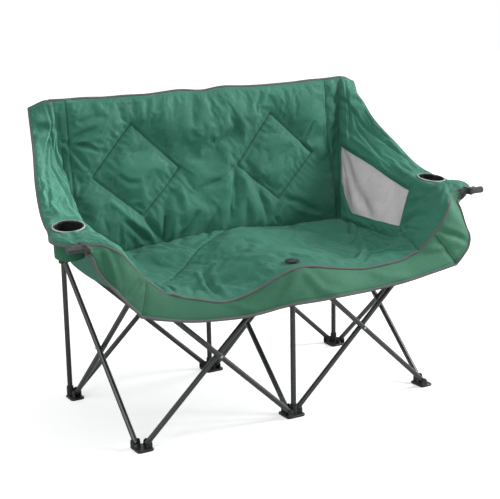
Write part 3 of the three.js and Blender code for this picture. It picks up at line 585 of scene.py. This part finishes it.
# Padded seat: one loose pad laid in a hammock between the hubs, bound in grey along its front edge.
# It is made here in the two halves that fold up like a ridge, with one shape running through both.
SEAT_REAR, SEAT_FRONT, SEAT_SPLIT = 197.0, -302.0, -59.0
SEAT_FULL, SEAT_THIN, SEAT_SKIN = 14.0, 3.0, 3.0
SEAT_TUFT_ROW, SEAT_TUFT_HEIGHT, SEAT_TUFT_REACH = -260, 472, 46
SEAT_SAG, SEAT_UNDER_ARM = 12, 4
SEAT_GRID = (181, 47)
SEAT_SIDE = (
    (206, 498, 455), (171, 500, 448), (91, 501, 440), (1, 501, 437),
    (-99, 498, 442), (-204, 461, 469), (-304, 429, 454),
)
SEAT_FRONT_LINE = (
    (-1, 450), (-0.8, 428), (-0.58, 404), (-0.39, 417), (-0.2, 446), (-0.05, 463), (0.1, 463), (0.24, 451),
    (0.49, 432), (0.66, 432), (0.84, 437), (1, 450),
)
SEAT_REAR_LINE = ((-1, 457), (-0.6, 452), (-0.25, 466), (0, 474), (0.3, 462), (0.6, 456), (1, 458))
SEAT_STITCH = [(38, 190), (-198, 17), (-408, -154)]
SEAT_FOLDS = (
    ([(-414, -150), (-391, -214), (-398, -300)], 7, -10),
    ([(-431, -170), (-443, -272), (-432, -310)], 8, -6),
    ([(-190, -63), (-229, -190), (-259, -300)], 11, -9),
    ([(-275, -145), (-322, -240), (-350, -300)], 11, -6),
    ([(-228, -177), (-130, -210), (-22, -214)], 16, -7),
    ([(-107, -83), (-64, -165), (-12, -200)], 13, 5),
    ([(395, -32), (379, -188), (424, -300)], 7, -11),
    ([(470, 83), (450, -41), (440, -180)], 7, -11),
    ([(374, -60), (334, -157), (234, -244)], 10, 9),
    ([(71, -206), (161, -231), (302, -175)], 14, -6),
    ([(330, 60), (380, -60), (395, -190)], 22, 9),
    ([(480, 170), (430, 60), (380, -20)], 8, -9),
    ([(424, -290), (360, -235), (300, -215)], 7, -10),
    ([(-330, 120), (-180, 60), (-20, 90)], 28, 5),
    ([(90, 120), (210, 60), (330, 90)], 28, 5),
    ([(-60, -130), (0, -60), (60, 40)], 20, 5),
    ([(-440, 180), (-400, 100), (-410, 0)], 12, -6),
    ([(-20, 196), (-60, 150), (-130, 120)], 9, -5),
    ([(150, 196), (190, 140), (260, 110)], 9, -5),
)


def curve_through(points, at):
    """Catmull-Rom curve through evenly spaced points, with its ends carried straight on; at runs 0..1."""
    points = np.concatenate([[2 * points[0] - points[1]], points, [2 * points[-1] - points[-2]]])
    place = np.clip(np.asarray(at, float), 0, 1) * (len(points) - 3)
    start = np.minimum(place.astype(int), len(points) - 4)
    t = (place - start).reshape(-1, *[1] * (points.ndim - 1))
    p0, p1, p2, p3 = (points[start + step] for step in range(4))
    square, cube = 2 * p0 - 5 * p1 + 4 * p2 - p3, 3 * p1 - p0 - 3 * p2 + p3
    return 0.5 * (2 * p1 + (p2 - p0) * t + square * t**2 + cube * t**3)


def line_at(line, at):
    """The other columns of a smooth line through typed places, where its first column has the value at."""
    fine = curve_through(np.asarray(line, float), np.linspace(0, 1, 400))
    order = np.argsort(fine[:, 0])
    return [np.interp(at, fine[order, 0], fine[order, column]) for column in range(1, fine.shape[1])]


def seat_middle(share, y):
    """The seat's middle surface: heights run from the rear line to the front line and meet the arms' feet."""
    forward = (SEAT_REAR - y) / (SEAT_REAR - SEAT_FRONT)
    half, side_height = line_at(SEAT_SIDE, y)
    height = mix(line_at(SEAT_REAR_LINE, share)[0], line_at(SEAT_FRONT_LINE, share)[0], smooth(forward))
    sag = SEAT_SAG * np.sin(math.pi * np.clip(forward, 0, 1))
    height = height - sag * np.sin(math.pi * np.abs(share)) ** 2
    height = mix(height, side_height, smooth((np.abs(share) - 0.86) / 0.14))
    x = share * (half + SEAT_UNDER_ARM)
    tuft = bell(np.hypot(x, y - SEAT_TUFT_ROW), SEAT_TUFT_REACH)
    return np.stack([x, y, height + (SEAT_TUFT_HEIGHT - height) * tuft], -1)


def seat_half(name, rear, front, node, body):
    """The seat from one row to another: its middle surface, padded by crowned sides and ends, and folds."""
    share, y = np.meshgrid(
        np.linspace(-1, 1, SEAT_GRID[0]), np.linspace(rear, front, SEAT_GRID[1]), indexing="ij",
    )
    middle = seat_middle(share, y)
    x = middle[..., 0]
    sides = swell((share + 1) / 2, 26)
    ends = smooth((y - SEAT_FRONT) / 34) * smooth((SEAT_REAR - y) / 26 + 0.35)
    tuft = smooth((np.hypot(x, y - SEAT_TUFT_ROW) - 21) / 60)
    puff = SEAT_THIN + (SEAT_FULL - SEAT_THIN) * sides * ends * tuft
    detail = folded(x, y, SEAT_FOLDS) + 1.4 * ripple(x, y, 140, 21) + 0.6 * ripple(x, y, 55, 22)
    detail = (detail - quilted(x, y, SEAT_STITCH, closed=False)) * sides * smooth(ends * 2) * tuft
    top = middle + np.stack([0 * x, 0 * x, puff + np.maximum(detail, -0.8 * puff)], -1)
    below = middle - np.array([0, 0, SEAT_SKIN])
    piece = shell(name, top, below, (976, abs(rear - front)))
    to_stitch = near_line(x, y, SEAT_STITCH)[0]
    stitched = np.clip(1.5 - to_stitch / 4.5, 0, 1)
    rims = 1 - smooth(sides * ends * tuft * 1.3)
    across = np.clip(1 - np.abs(y - SEAT_SPLIT) / 6, 0, 1)
    billow(piece, np.maximum(np.maximum(stitched, rims), across), pressure=1.2, slack=0.025, cap=0.012)
    stitch(piece, np.minimum(to_stitch, np.abs(y - SEAT_FRONT - 10) + HEM_THINNER))
    rounder(piece)
    piece.data.materials.append(fabric_finish)
    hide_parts(node)
    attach(piece, body)
    gathers(piece)


seat_half("seat_rear_half", SEAT_REAR, SEAT_SPLIT, "seat_rear", "seat_rear")
seat_half("seat_front_half", SEAT_SPLIT, SEAT_FRONT, "seat_front", "seat_front")


# Binding: a narrow woven tape in grey, folded lengthwise over the raw edge and sewn through.
# It runs along the top of the back, the front of the seat, the outer, front and rear edges of each arm and
# the foot of the apron, and each run is made from that edge.
TAPE_GREY, TAPE_PALE, TAPE_DARK = (0.134, 0.137, 0.135), (0.17, 0.162, 0.162), (0.105, 0.102, 0.104)
TAPE_RADIUS, TAPE_SIDES = 3.8, 10
tape_finish = woven("grey_binding", TAPE_GREY, TAPE_PALE, TAPE_DARK, crumple=0.3, weave=0.0003)


def binding(name, path):
    """A round section carried along a path of places in millimetres, square to it at each place."""
    path = np.asarray(path, float)
    ahead = unit(np.gradient(path, axis=0))
    side = unit(np.cross(ahead, np.where(np.abs(ahead[:, 2:]) > 0.9, [[0.0, 1, 0]], [[0.0, 0, 1]])))
    over = np.cross(side, ahead)
    angle = np.linspace(0, 2 * math.pi, TAPE_SIDES, endpoint=False)[None, :, None]
    ring = path[:, None] + TAPE_RADIUS * (side[:, None] * np.cos(angle) + over[:, None] * np.sin(angle))
    index = np.arange(len(path) * TAPE_SIDES).reshape(-1, TAPE_SIDES)
    here, after = index[:-1], index[1:]
    faces = np.stack([here, np.roll(here, -1, 1), np.roll(after, -1, 1), after], -1).reshape(-1, 4).tolist()
    faces += [index[0, ::-1].tolist(), index[-1].tolist()]
    length = np.cumsum(np.r_[0, np.linalg.norm(np.diff(path, axis=0), axis=1)]) / 1000
    around = np.linspace(0, 2 * math.pi * TAPE_RADIUS / 1000, TAPE_SIDES, endpoint=False)
    weave = np.stack(np.broadcast_arrays(length[:, None], around[None]), -1).reshape(-1, 2)
    piece = body_of(name, on_grid(ring.reshape(-1, 3)), faces, weave)
    piece.data.materials.append(tape_finish)
    return piece


back_binding = binding("back_binding", 0.5 * (back_front[:, -1] + back_behind[:, -1]) + np.array([0, 0, 1.0]))
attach(back_binding, "back_centre")
gathers(back_binding)
front_share = np.linspace(-1, 1, 161)
seat_edge = seat_middle(front_share, np.full(front_share.shape, SEAT_FRONT)) + np.array([0, -1.5, 0.5])
seat_binding = binding("seat_binding", seat_edge)
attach(seat_binding, "seat_front")
gathers(seat_binding)


# Arm panels: one padded wing at each side, sewn to the back along its pole and to the seat along its foot,
# rising over the arm to a bound outer edge. A net window is let in low on the inside, a cup ring on top.
WING_NET = np.array([
    [[-0.024, 0.073, 0.014], [0.015, 0.032, 0.23], [0.034, 0.018, 0.53],
     [0.054, 0.007, 0.784], [0.073, 0, 0.99], [0.376, -0.027, 0.962]],
    [[-0.015, 0.136, 0], [0.015, 0.121, 0.199], [0.044, 0.113, 0.497],
     [0.132, 0.1, 0.616], [0.298, 0.104, 0.686], [0.483, 0.114, 0.727]],
    [[-0.01, 0.279, -0.016], [0.024, 0.279, 0.168], [0.132, 0.279, 0.431],
     [0.229, 0.275, 0.501], [0.424, 0.275, 0.542], [0.644, 0.279, 0.556]],
    [[-0.01, 0.439, -0.025], [0.044, 0.448, 0.127], [0.21, 0.439, 0.357],
     [0.337, 0.439, 0.419], [0.537, 0.439, 0.435], [0.761, 0.439, 0.421]],
    [[-0.024, 0.618, -0.016], [0.102, 0.591, 0.078], [0.254, 0.6, 0.304],
     [0.376, 0.627, 0.361], [0.59, 0.632, 0.376], [0.873, 0.636, 0.347]],
    [[-0.21, 0.805, 0.041], [-0.024, 0.805, 0.119], [0.229, 0.805, 0.279],
     [0.415, 0.796, 0.349], [0.688, 0.793, 0.361], [0.99, 0.789, 0.341]],
    [[-0.366, 0.984, 0.01], [-0.063, 0.979, 0.117], [0.098, 0.979, 0.195],
     [0.249, 0.963, 0.277], [0.463, 0.9, 0.324], [0.78, 0.88, 0.329]],
])
WING_START, WING_REACH = np.array([505.0, 247.0, 448.0]), np.array([205.0, -560.0, 487.0])
SIDES = ((-1, "left"), (1, "right"))
TIP_ROW = {-1: -260.0, 1: -243.4}
TIP_SETBACK = 12.0
WING_LONG, WING_TALL = 560, 480
WING_GRID = (133, 101)
WING_FULL, WING_THIN, WING_LINING = 9.5, 3.5, 3.0
WINDOW = (0.15 / 6, 4 / 6, 1 / 5, 2 / 5)
WINDOW_FOOT = {
    -1: ((0, 0.2), (1, 0.2)),
    1: ((0, 0.24), (0.05, 0.23), (0.1, 0.18), (0.21, 0.09), (0.445, 0.125), (0.685, 0.2), (1, 0.2)),
}
EAR_NOTCH = (0.055, 0.03, 9.0)
RING_PLACE = (4.05 / 6, 4 / 5)
RING_HOLE, RING_LIP = 43.0, 46.5


def wing_heights(side, us, vs):
    """Shares up the wing, with the grid's lines between 0 and the window's top drawn to the window's foot."""
    foot = np.interp(us, *np.transpose(WINDOW_FOOT[side]))
    return np.stack([np.interp(vs, [0, WINDOW[2], WINDOW[3], 1], [0, low, WINDOW[3], 1]) for low in foot])


def wing_places(side, us, vs):
    """The wing's middle surface: curves across the stations, then a curve up each of their columns."""
    net = WING_START + WING_NET * WING_REACH
    net[-1, -2:, 1] = TIP_ROW[side] + TIP_SETBACK * np.arange(2)
    columns, heights = curve_through(net, us), wing_heights(side, us, vs)
    places = np.stack([curve_through(column, height) for column, height in zip(columns, heights)])
    notch = bell(np.asarray(us) - EAR_NOTCH[0], EAR_NOTCH[1])[:, None] * smooth((heights - 0.8) / 0.2)
    return (places - (side > 0) * notch[..., None] * np.array([EAR_NOTCH[2], 0, 0])) * np.array([side, 1, 1])


def steps_with(count, *stops):
    """Even shares from 0 to 1 with each stop moved onto its nearest step."""
    shares = np.linspace(0, 1, count)
    for stop in stops:
        shares[np.argmin(np.abs(shares - stop))] = stop
    return shares


WING_FOLDS = (
    ([(0.075, 0.75), (0.08, 0.85), (0.095, 0.99)], 0.011, -8.0),
    ([(0.075, 0.75), (0.05, 0.99)], 0.016, 5.0),
    ([(0.075, 0.75), (0.0, 0.86)], 0.011, -5.0),
    ([(0.075, 0.75), (0.0, 0.64)], 0.011, -5.0),
    ([(0.075, 0.75), (0.14, 0.8)], 0.012, -5.0),
    ([(0.075, 0.75), (0.13, 0.68)], 0.012, -5.0),
    ([(0.075, 0.75), (0.2, 0.72), (0.38, 0.62)], 0.02, -3.0),
    ([(0.075, 0.75), (0.25, 0.84), (0.5, 0.88)], 0.022, -3.5),
    ([(0.075, 0.75), (0.15, 0.6), (0.2, 0.48)], 0.018, -2.5),
    ([(0.12, 0.9), (0.3, 0.92), (0.5, 0.93)], 0.022, 2.5),
    ([(0.02, 0.5), (0.2, 0.58), (0.42, 0.55)], 0.03, 3.0),
    ([(0.7, 0.3), (0.78, 0.36), (0.86, 0.34)], 0.025, -4.0),
    ([(0.69, 0.2), (0.8, 0.26), (0.93, 0.3)], 0.022, -4.5),
    ([(0.69, 0.19), (0.8, 0.14), (0.95, 0.16)], 0.02, -4.5),
    ([(0.68, 0.16), (0.74, 0.07), (0.8, 0.01)], 0.02, -4.0),
    ([(0.45, 0.62), (0.6, 0.6), (0.8, 0.55)], 0.04, 3.0),
    ([(0.86, 0.6), (0.93, 0.5), (0.97, 0.38)], 0.03, 3.0),
    ([(0.85, 0.66), (0.9, 0.52), (0.88, 0.4)], 0.02, -3.0),
    ([(0.15, 0.05), (0.3, 0.06), (0.5, 0.04)], 0.02, 2.0),
)


def draws_in(piece, side):
    """Works out the pole's top, which is not used, and gives the piece its own copy of its mesh."""
    on_grid([side * 505, 247, 905]).tolist()
    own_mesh(piece)


wings = {}
for side, word in SIDES:
    us = steps_with(WING_GRID[0], WINDOW[0], WINDOW[1])
    vs = steps_with(WING_GRID[1], WINDOW[2], WINDOW[3])
    middle = wing_places(side, us, vs)
    inner = facing(middle, (0, 0, 1))
    u, strip = np.meshgrid(us, vs, indexing="ij")
    v = wing_heights(side, us, vs)
    ring_u, ring_v = np.argmin(np.abs(us - RING_PLACE[0])), np.argmin(np.abs(vs - RING_PLACE[1]))
    seat, axis = wing_places(side, [RING_PLACE[0]], [RING_PLACE[1]])[0, 0], inner[ring_u, ring_v]
    from_ring = middle - seat
    rise = np.sum(from_ring * axis, -1)
    radial = from_ring - rise[..., None] * axis
    radius = np.linalg.norm(radial, axis=-1)
    cell_radius = 0.25 * (radius[:-1, :-1] + radius[1:, :-1] + radius[1:, 1:] + radius[:-1, 1:])
    holed = (cell_radius < RING_HOLE) & (u[:-1, :-1] > 0.5)
    corner_holed = corners_used(~holed)[:radius.size].reshape(radius.shape)
    rim = corner_holed & (radius > RING_HOLE - 8)
    round_hole = radial / np.maximum(radius, 1)[..., None] * RING_HOLE
    middle = np.where(rim[..., None], seat + rise[..., None] * axis + round_hole, middle)
    radius = np.where(rim, RING_HOLE, radius)
    within = (u >= WINDOW[0]) & (u < WINDOW[1]) & (strip >= WINDOW[2]) & (strip < WINDOW[3])
    window = within[:-1, :-1]
    edge = swell(u, 30) * swell(v, 20)
    window_foot = np.interp(us, *np.transpose(WINDOW_FOOT[side]))[:, None]
    past_side, past_end = np.maximum(WINDOW[0] - u, u - WINDOW[1]), np.maximum(window_foot - v, v - WINDOW[3])
    to_window = np.maximum(past_side * WING_LONG, past_end * WING_TALL)
    border = smooth(to_window / 24)
    puff = WING_THIN + (WING_FULL - WING_THIN) * edge * border
    long, tall = u * WING_LONG, v * WING_TALL
    detail = folded(u, v, WING_FOLDS) + 0.9 * ripple(long, tall, 120, 31 + side)
    detail = detail + 0.5 * ripple(long, tall, 50, 41 + side)
    height = puff + np.maximum(detail * edge * border, -0.8 * puff)
    seated = smooth((radius - RING_LIP) / 26)
    flat_height = 1.6 - rise
    front = middle + inner * (height * seated)[..., None] + axis * (flat_height * (1 - seated))[..., None]
    rear = middle - inner * (WING_LINING * seated)[..., None]
    rear = rear + axis * ((flat_height - 3.4) * (1 - seated))[..., None]
    open_cells = holed | window
    used = corners_used(open_cells)
    wing = shell(f"arm_wing_{word}", front, rear, (WING_LONG, WING_TALL), open_cells)
    held = np.maximum(1 - smooth(edge * border * 1.3), 1 - smooth((radius - RING_LIP - 6) / 20))
    billow(wing, held, pressure=1.0, slack=0.02, cap=0.009, used=used)
    hem = np.minimum(np.abs(to_window - 5), np.minimum(np.abs(tall - 5), np.abs((1 - v) * WING_TALL - 9)))
    hem = np.minimum(hem, np.minimum(np.abs((1 - u) * WING_LONG - 8), np.abs(long - 9)))
    stitch(wing, hem + HEM_THINNER, used)
    rounder(wing)
    wing.data.materials.append(fabric_finish)
    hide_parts(f"arm_panel_{word}")
    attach(wing, f"arm_{word}")
    draws_in(wing, side)
    mid = 0.5 * (front + rear)
    wings[side] = {"seat": seat, "axis": axis}
    outer = np.concatenate([mid[:, -1], mid[-1, ::-1][1:]])
    for name, edge_line in ((f"arm_binding_{word}", outer), (f"arm_top_binding_{word}", mid[0])):
        tape = binding(name, edge_line)
        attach(tape, f"arm_{word}")
        draws_in(tape, side)


# Net windows: open knitted mesh in pale grey polyester, one in each arm panel.
# Each is sewn behind the panel's opening and left a little slack, so it hangs in one soft fold.
NET_GREY, NET_SHADE = (0.62, 0.57, 0.59), (0.42, 0.39, 0.40)
NET_THICK, NET_PITCH, NET_GRID = 0.8, 0.0054, (70, 36)
net_finish = Finish("knitted_net", specular_ior_level=0.2)
net_uv = net_finish.node("ShaderNodeUVMap", {"uv_map": "weave"})
net_split = net_finish.node("ShaderNodeSeparateXYZ", sockets={"Vector": net_uv})
turns = 2 * math.pi / NET_PITCH
net_rows = net_split.other("Y")
cells = ((net_split + net_rows) * turns).sine() * ((net_split - net_rows) * turns).sine()
openness = cells.between(0.1, 0.45)
shading = net_finish.noise(30.0, detail=4.0, distortion=0.5)
net_finish.use(
    base_color=net_finish.blend(shading.between(0.3, 0.75) * 0.5, NET_GREY, NET_SHADE),
    roughness=0.75 + shading * 0.1,
    alpha=1 - openness * 0.8,
    normal=net_finish.bump(cells * -1, 0.0006, 0.8),
)
for side, word in SIDES:
    us = np.linspace(WINDOW[0] - 0.006, WINDOW[1] + 0.008, NET_GRID[0])
    vs = np.linspace(WINDOW[2] - 0.012, WINDOW[3] + 0.012, NET_GRID[1])
    middle = wing_places(side, us, vs)
    inner = facing(middle, (-side, 0, 0))
    u, v = np.meshgrid(*(np.linspace(0, 1, count) for count in NET_GRID), indexing="ij")
    slack = 5 * swell(u, 2) * swell(v, 2)
    slack = slack + 2.2 * ripple(u * 320, v * 150, 90, 51 + side) * swell(u, 4) * swell(v, 4)
    slack = slack + folded(u, v, [([(0.02, 0.95), (0.35, 0.45), (0.62, 0.05)], 0.07, 6.0)])
    front = middle - inner * (slack + 1.0)[..., None]
    window_net = shell(f"arm_net_{word}", front, front - inner * NET_THICK, (330, 170))
    window_net.data.materials.append(net_finish.material)
    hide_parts(f"arm_mesh_{word}")
    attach(window_net, f"arm_{word}")
    draws_in(window_net, side)


# Apron: a single sheet of the same cloth, sewn under the seat's binding and carried up each side to the arm.
# Seen from its uncoated side, it is a warmer and paler green, and its half on the chair's left is painted
# darker as painted shade. Its lower edge is bound in the same grey tape.
APRON_FOOT = (
    (
        (-660, -258, 604), (-641, -266, 593), (-634, -285, 577), (-631, -305, 554),
        (-621, -322, 532), (-599, -340, 503), (-566, -354, 462), (-532, -362, 424),
    ),
    (
        (-532, -362, 424), (-476, -356, 403), (-356, -352, 379), (-198, -348, 367), (-66, -346, 375),
        (71, -346, 373), (298, -350, 380), (437, -354, 397), (532, -362, 414),
    ),
    (
        (532, -362, 414), (575, -352, 447), (595, -342, 467), (606, -330, 489), (608, -315, 508),
        (608, -300, 534), (608, -285, 560), (606, -268, 584), (630, -258, 588), (652, -252, 598),
    ),
)
APRON_COLUMNS = (44, 153, 44)
APRON_CORNER, APRON_TIPS, APRON_SEAT_END = 0.19, (0.99, 0.95), 0.015
APRON_THICK, APRON_ROWS = 1.2, 31
APRON_LONG, APRON_TALL = 1500, 100
APRON_SEAMS = (274, 1226)
APRON_FOLDS = (
    ([(760, 0), (700, 60), (640, 100)], 14, 5), ([(760, 0), (800, 70), (860, 100)], 14, 4),
    ([(1250, 5), (1290, 60), (1310, 98)], 9, -7), ([(250, 5), (225, 60), (205, 98)], 9, -5),
    ([(520, 5), (560, 60), (610, 95)], 16, 3), ([(980, 5), (1010, 60), (1100, 95)], 18, 3),
    ([(1180, 10), (1220, 40), (1280, 60)], 10, 4), ([(90, 5), (140, 60), (170, 95)], 12, 4),
)
APRON_GREEN, APRON_PALE, APRON_DEEP = (0.058, 0.216, 0.124), (0.078, 0.252, 0.152), (0.044, 0.176, 0.102)
# Painted shade: the apron's half on the chair's left is painted a darker green.
apron_finish = woven("apron_polyester", APRON_GREEN, APRON_PALE, APRON_DEEP, crumple=1.2, painted_shade_half=0.62)


def even_along(points, count):
    """Places along a smooth curve through the points, evenly spaced by length, without its last."""
    fine = curve_through(np.asarray(points, float), np.linspace(0, 1, 1200))
    length = np.r_[0, np.cumsum(np.linalg.norm(np.diff(fine, axis=0), axis=1))]
    at = np.arange(count) / count * length[-1]
    return np.stack([np.interp(at, length, fine[:, axis]) for axis in range(3)], -1)


def wing_front(side, low, high):
    """Places along the wing's front edge, a little in front of it, and over the tube's end by the tip."""
    heights = np.linspace(low, high, 15)
    tip = smooth((heights - 0.84) / 0.1)
    shift = np.stack([side * 7 * tip, -3.5 - 4.5 * tip, 3 * tip - 0.5], -1)
    return wing_places(side, [1.0], heights)[0] + shift


seat_run = seat_middle(np.linspace(-0.97, 0.97, 27), np.full(27, SEAT_FRONT)) + np.array([0, -2.5, -1.0])
left_corner = wing_front(-1, APRON_CORNER, APRON_SEAT_END)[::3]
right_corner = wing_front(1, APRON_SEAT_END, APRON_CORNER)[::3]
top_runs = (
    wing_front(-1, APRON_TIPS[0], APRON_CORNER),
    np.concatenate([left_corner, seat_run, right_corner]),
    wing_front(1, APRON_CORNER, APRON_TIPS[1]),
)
top_edge, foot_edge = (
    np.concatenate([*map(even_along, runs, APRON_COLUMNS), np.asarray(runs[-1], float)[-1:]])
    for runs in (top_runs, APRON_FOOT)
)
drop = np.linspace(0, 1, APRON_ROWS)
apron_middle = mix(top_edge[:, None], foot_edge[:, None], drop[None, :, None])
along = np.linspace(0, 1, len(top_edge))
a, b = np.meshgrid(along, drop, indexing="ij")
long, tall = a * APRON_LONG, b * APRON_TALL
hang = 6 * swell(b, 2) * np.sin(math.pi * a) ** 0.5 + 2.4 * ripple(long, tall, 170, 61) * smooth(b * 3)
hang = hang + folded(long, tall, APRON_FOLDS)
corner_line = np.minimum(*(np.abs(long - seam) for seam in APRON_SEAMS))
hang = hang - 5 * bell(corner_line, 9) * smooth(b * 4)
apron_out = facing(apron_middle, (0, -1, 0))
apron_front = apron_middle + apron_out * hang[..., None]
apron = shell("apron_skirt", apron_front, apron_front - apron_out * APRON_THICK, (APRON_LONG, APRON_TALL))
stitch(apron, np.minimum(corner_line, np.abs((1 - b) * 90 - 9) + HEM_THINNER))
rounder(apron)
apron.data.materials.append(apron_finish)
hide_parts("apron")
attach(apron, "hub_front_centre")
gathers(apron)
apron_binding = binding("apron_binding", apron_front[:, -1])
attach(apron_binding, "hub_front_centre")
gathers(apron_binding)


# Cup rings: moulded polymer collars pressed through the arm panels and clipped over the fabric.
# The collar is dark, and a thin band round its top rim is painted light grey as a painted highlight, a little
# soiled by use.
RING_HIGHLIGHT_GREY, RING_HIGHLIGHT_SOILED, RING_DARK = (0.66, 0.67, 0.67), (0.50, 0.505, 0.50), (0.016, 0.017, 0.016)
RIM_INSIDE, RIM_DROP, RIM_FADE, DROP_FADE = 0.0432, 0.003, 0.0006, 0.001
ring_finish = Finish("ring_polymer", specular_ior_level=0.5)
soil = ring_finish.noise(90.0, detail=5.0).between(0.45, 0.8)
fine = ring_finish.noise(1800.0, detail=1.0)
across = ring_finish.node("ShaderNodeSeparateXYZ", sockets={"Vector": ring_finish.place()})
mirrored = ring_finish.node(
    "ShaderNodeCombineXYZ",
    sockets={"X": across.math("ABSOLUTE"), "Y": across.other("Y"), "Z": across.other("Z")},
)
ring_seat, ring_axis = on_grid(wings[1]["seat"]), wings[1]["axis"]
collar = np.array([vertex.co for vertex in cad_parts["cup_ring_right"].data.vertices])
rim_height = float(np.max((collar - ring_seat) @ ring_axis))
from_seat = ring_finish.vector("SUBTRACT", mirrored, tuple(ring_seat))
climb = ring_finish.vector("DOT_PRODUCT", from_seat, tuple(ring_axis), output=1)
square_on = ring_finish.vector("CROSS_PRODUCT", from_seat, tuple(ring_axis))
outwards = ring_finish.vector("LENGTH", square_on, output=1)
rim_foot = rim_height - RIM_DROP
# Painted highlight: a thin band round the top of the rim is painted light grey.
rim_highlight = outwards.between(RIM_INSIDE - RIM_FADE, RIM_INSIDE) * climb.between(rim_foot, rim_foot + DROP_FADE)
paint(
    ring_finish.use(
        base_color=ring_finish.blend(rim_highlight, RING_DARK, ring_finish.blend(soil * 0.6, RING_HIGHLIGHT_GREY, RING_HIGHLIGHT_SOILED)),
        roughness=0.28 + soil * 0.25,
        normal=ring_finish.bump(fine, 0.0001, 0.4),
    ),
    "cup_ring_",
)


# Cup pouches: a tube of the apron's cloth closed with a flat base, one under each arm.
# Its top is gathered onto the ring's collar, so it is creased there and smoother lower down.
POUCH_TOP, POUCH_DEPTH, POUCH_RADIUS, POUCH_TAPER, POUCH_WALL = -9.0, 83.0, 44.6, 0.94, 1.6
POUCH_ROUND, POUCH_DOWN, POUCH_BASE = 72, 25, 9
for side, word in SIDES:
    seat, axis = wings[side]["seat"], wings[side]["axis"]
    first = unit(np.cross(axis, [0.0, 1, 0]))
    second = np.cross(axis, first)
    down = np.concatenate([np.linspace(0, 1, POUCH_DOWN), np.full(POUCH_BASE, 1.0)])
    inward = np.concatenate([np.ones(POUCH_DOWN), np.linspace(0.94, 0.02, POUCH_BASE)])
    angle = np.linspace(0, 2 * math.pi, POUCH_ROUND + 1)
    d, turn_angle = np.meshgrid(down, angle, indexing="ij")
    gather = 0.9 * np.sin(11 * turn_angle + 2 * np.sin(3 * turn_angle)) * (1 - d) ** 0.7
    gather = gather + 0.8 * np.sin(5 * turn_angle + 3 * d)
    radius = (POUCH_RADIUS * mix(1, POUCH_TAPER, d) + gather) * inward[:, None]
    depth = mix(POUCH_TOP, -POUCH_DEPTH, d) + 1.2 * (1 - inward[:, None])
    outside = seat + axis * depth[..., None] + radius[..., None] * (
        first * np.cos(turn_angle)[..., None] + second * np.sin(turn_angle)[..., None]
    )
    towards_axis = (seat + axis * depth[..., None]) - outside
    inside = outside + unit(towards_axis) * POUCH_WALL * np.minimum(1, inward[:, None, None] * 3)
    inside = inside + axis * (POUCH_WALL * (d >= 1))[..., None]
    pouch = shell(f"cup_bag_{word}", outside, inside, (270, 120))
    # Painted shade: the left pouch lies in the apron finish's darker half, so it is painted the darker green
    # too.
    pouch.data.materials.append(apron_finish)
    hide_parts(f"cup_pouch_{word}")
    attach(pouch, f"cup_{word}")


# Stage: a pale seamless floor in a studio with white walls, which the camera sees as plain white.
# Three broad soft lamps light the chair, and a narrow one from the right brightens its left arm.
FLOOR_HALF = 9
floor_mesh = bpy.data.meshes.new("floor")
floor_corners = [(x * FLOOR_HALF, y * FLOOR_HALF, 0) for x, y in ((-1, -1), (1, -1), (1, 1), (-1, 1))]
floor_mesh.from_pydata(floor_corners, [], [(0, 1, 2, 3)])
floor = bpy.data.objects.new("floor", floor_mesh)
bpy.context.collection.objects.link(floor)
stage_finish = Finish("white_floor", roughness=0.9, specular_ior_level=0.1)
eye = stage_finish.node("ShaderNodeLightPath", output="Is Camera Ray")
far = stage_finish.vector("LENGTH", stage_finish.place(), output=1).between(1.2, 3.2)
glow = stage_finish.blend(far, (0.55, 0.55, 0.55), (1.0, 1.0, 1.0))
stage_finish.use(base_color=(0.86, 0.86, 0.86), emission_color=glow, emission_strength=eye)
floor_mesh.materials.append(stage_finish.material)

WALL_LIGHT = 0.24
world = bpy.data.worlds.new("studio")
bpy.context.scene.world = world
world.use_nodes = True
rays = world.node_tree.nodes.new("ShaderNodeLightPath")
seen, through = (world.node_tree.nodes.new("ShaderNodeMath") for step in range(2))
seen.operation = through.operation = "MAXIMUM"
backdrop = world.node_tree.nodes["Background"]
strength = world.node_tree.nodes.new("ShaderNodeMapRange")
strength.inputs["To Min"].default_value = WALL_LIGHT
strength.inputs["To Max"].default_value = 1.0
for output, slot in (
    (rays.outputs["Is Camera Ray"], seen.inputs[0]),
    (rays.outputs["Is Glossy Ray"], seen.inputs[1]),
    (rays.outputs["Is Transmission Ray"], through.inputs[1]),
    (seen.outputs[0], through.inputs[0]),
    (through.outputs[0], strength.inputs["Value"]),
    (strength.outputs["Result"], backdrop.inputs["Strength"]),
):
    world.node_tree.links.new(output, slot)
backdrop.inputs["Color"].default_value = (1.0, 1.0, 1.0, 1.0)


def lamp(name, place, target, size, power, spread=180):
    """A square area lamp that looks at its target, with its light kept within a spread in degrees."""
    data = bpy.data.lights.new(name, "AREA")
    data.size, data.energy, data.spread = size, power, math.radians(spread)
    light = bpy.data.objects.new(name, data)
    light.location = place
    light.rotation_euler = (Vector(target) - Vector(place)).to_track_quat("-Z", "Y").to_euler()
    bpy.context.collection.objects.link(light)


lamp("key", (3.1, -1.0, 2.1), (0, 0, 0.5), 1.2, 135)
lamp("fill", (-3.0, -1.4, 2.2), (0, 0, 0.5), 2.0, 52)
lamp("top", (-0.4, 0.4, 3.4), (0, 0, 0.4), 2.0, 18)
lamp("side", (3.1, -0.3, 1.9), (-0.66, -0.06, 0.86), 0.5, 2.6, 13)
bpy.context.scene.view_settings.view_transform = "Standard"
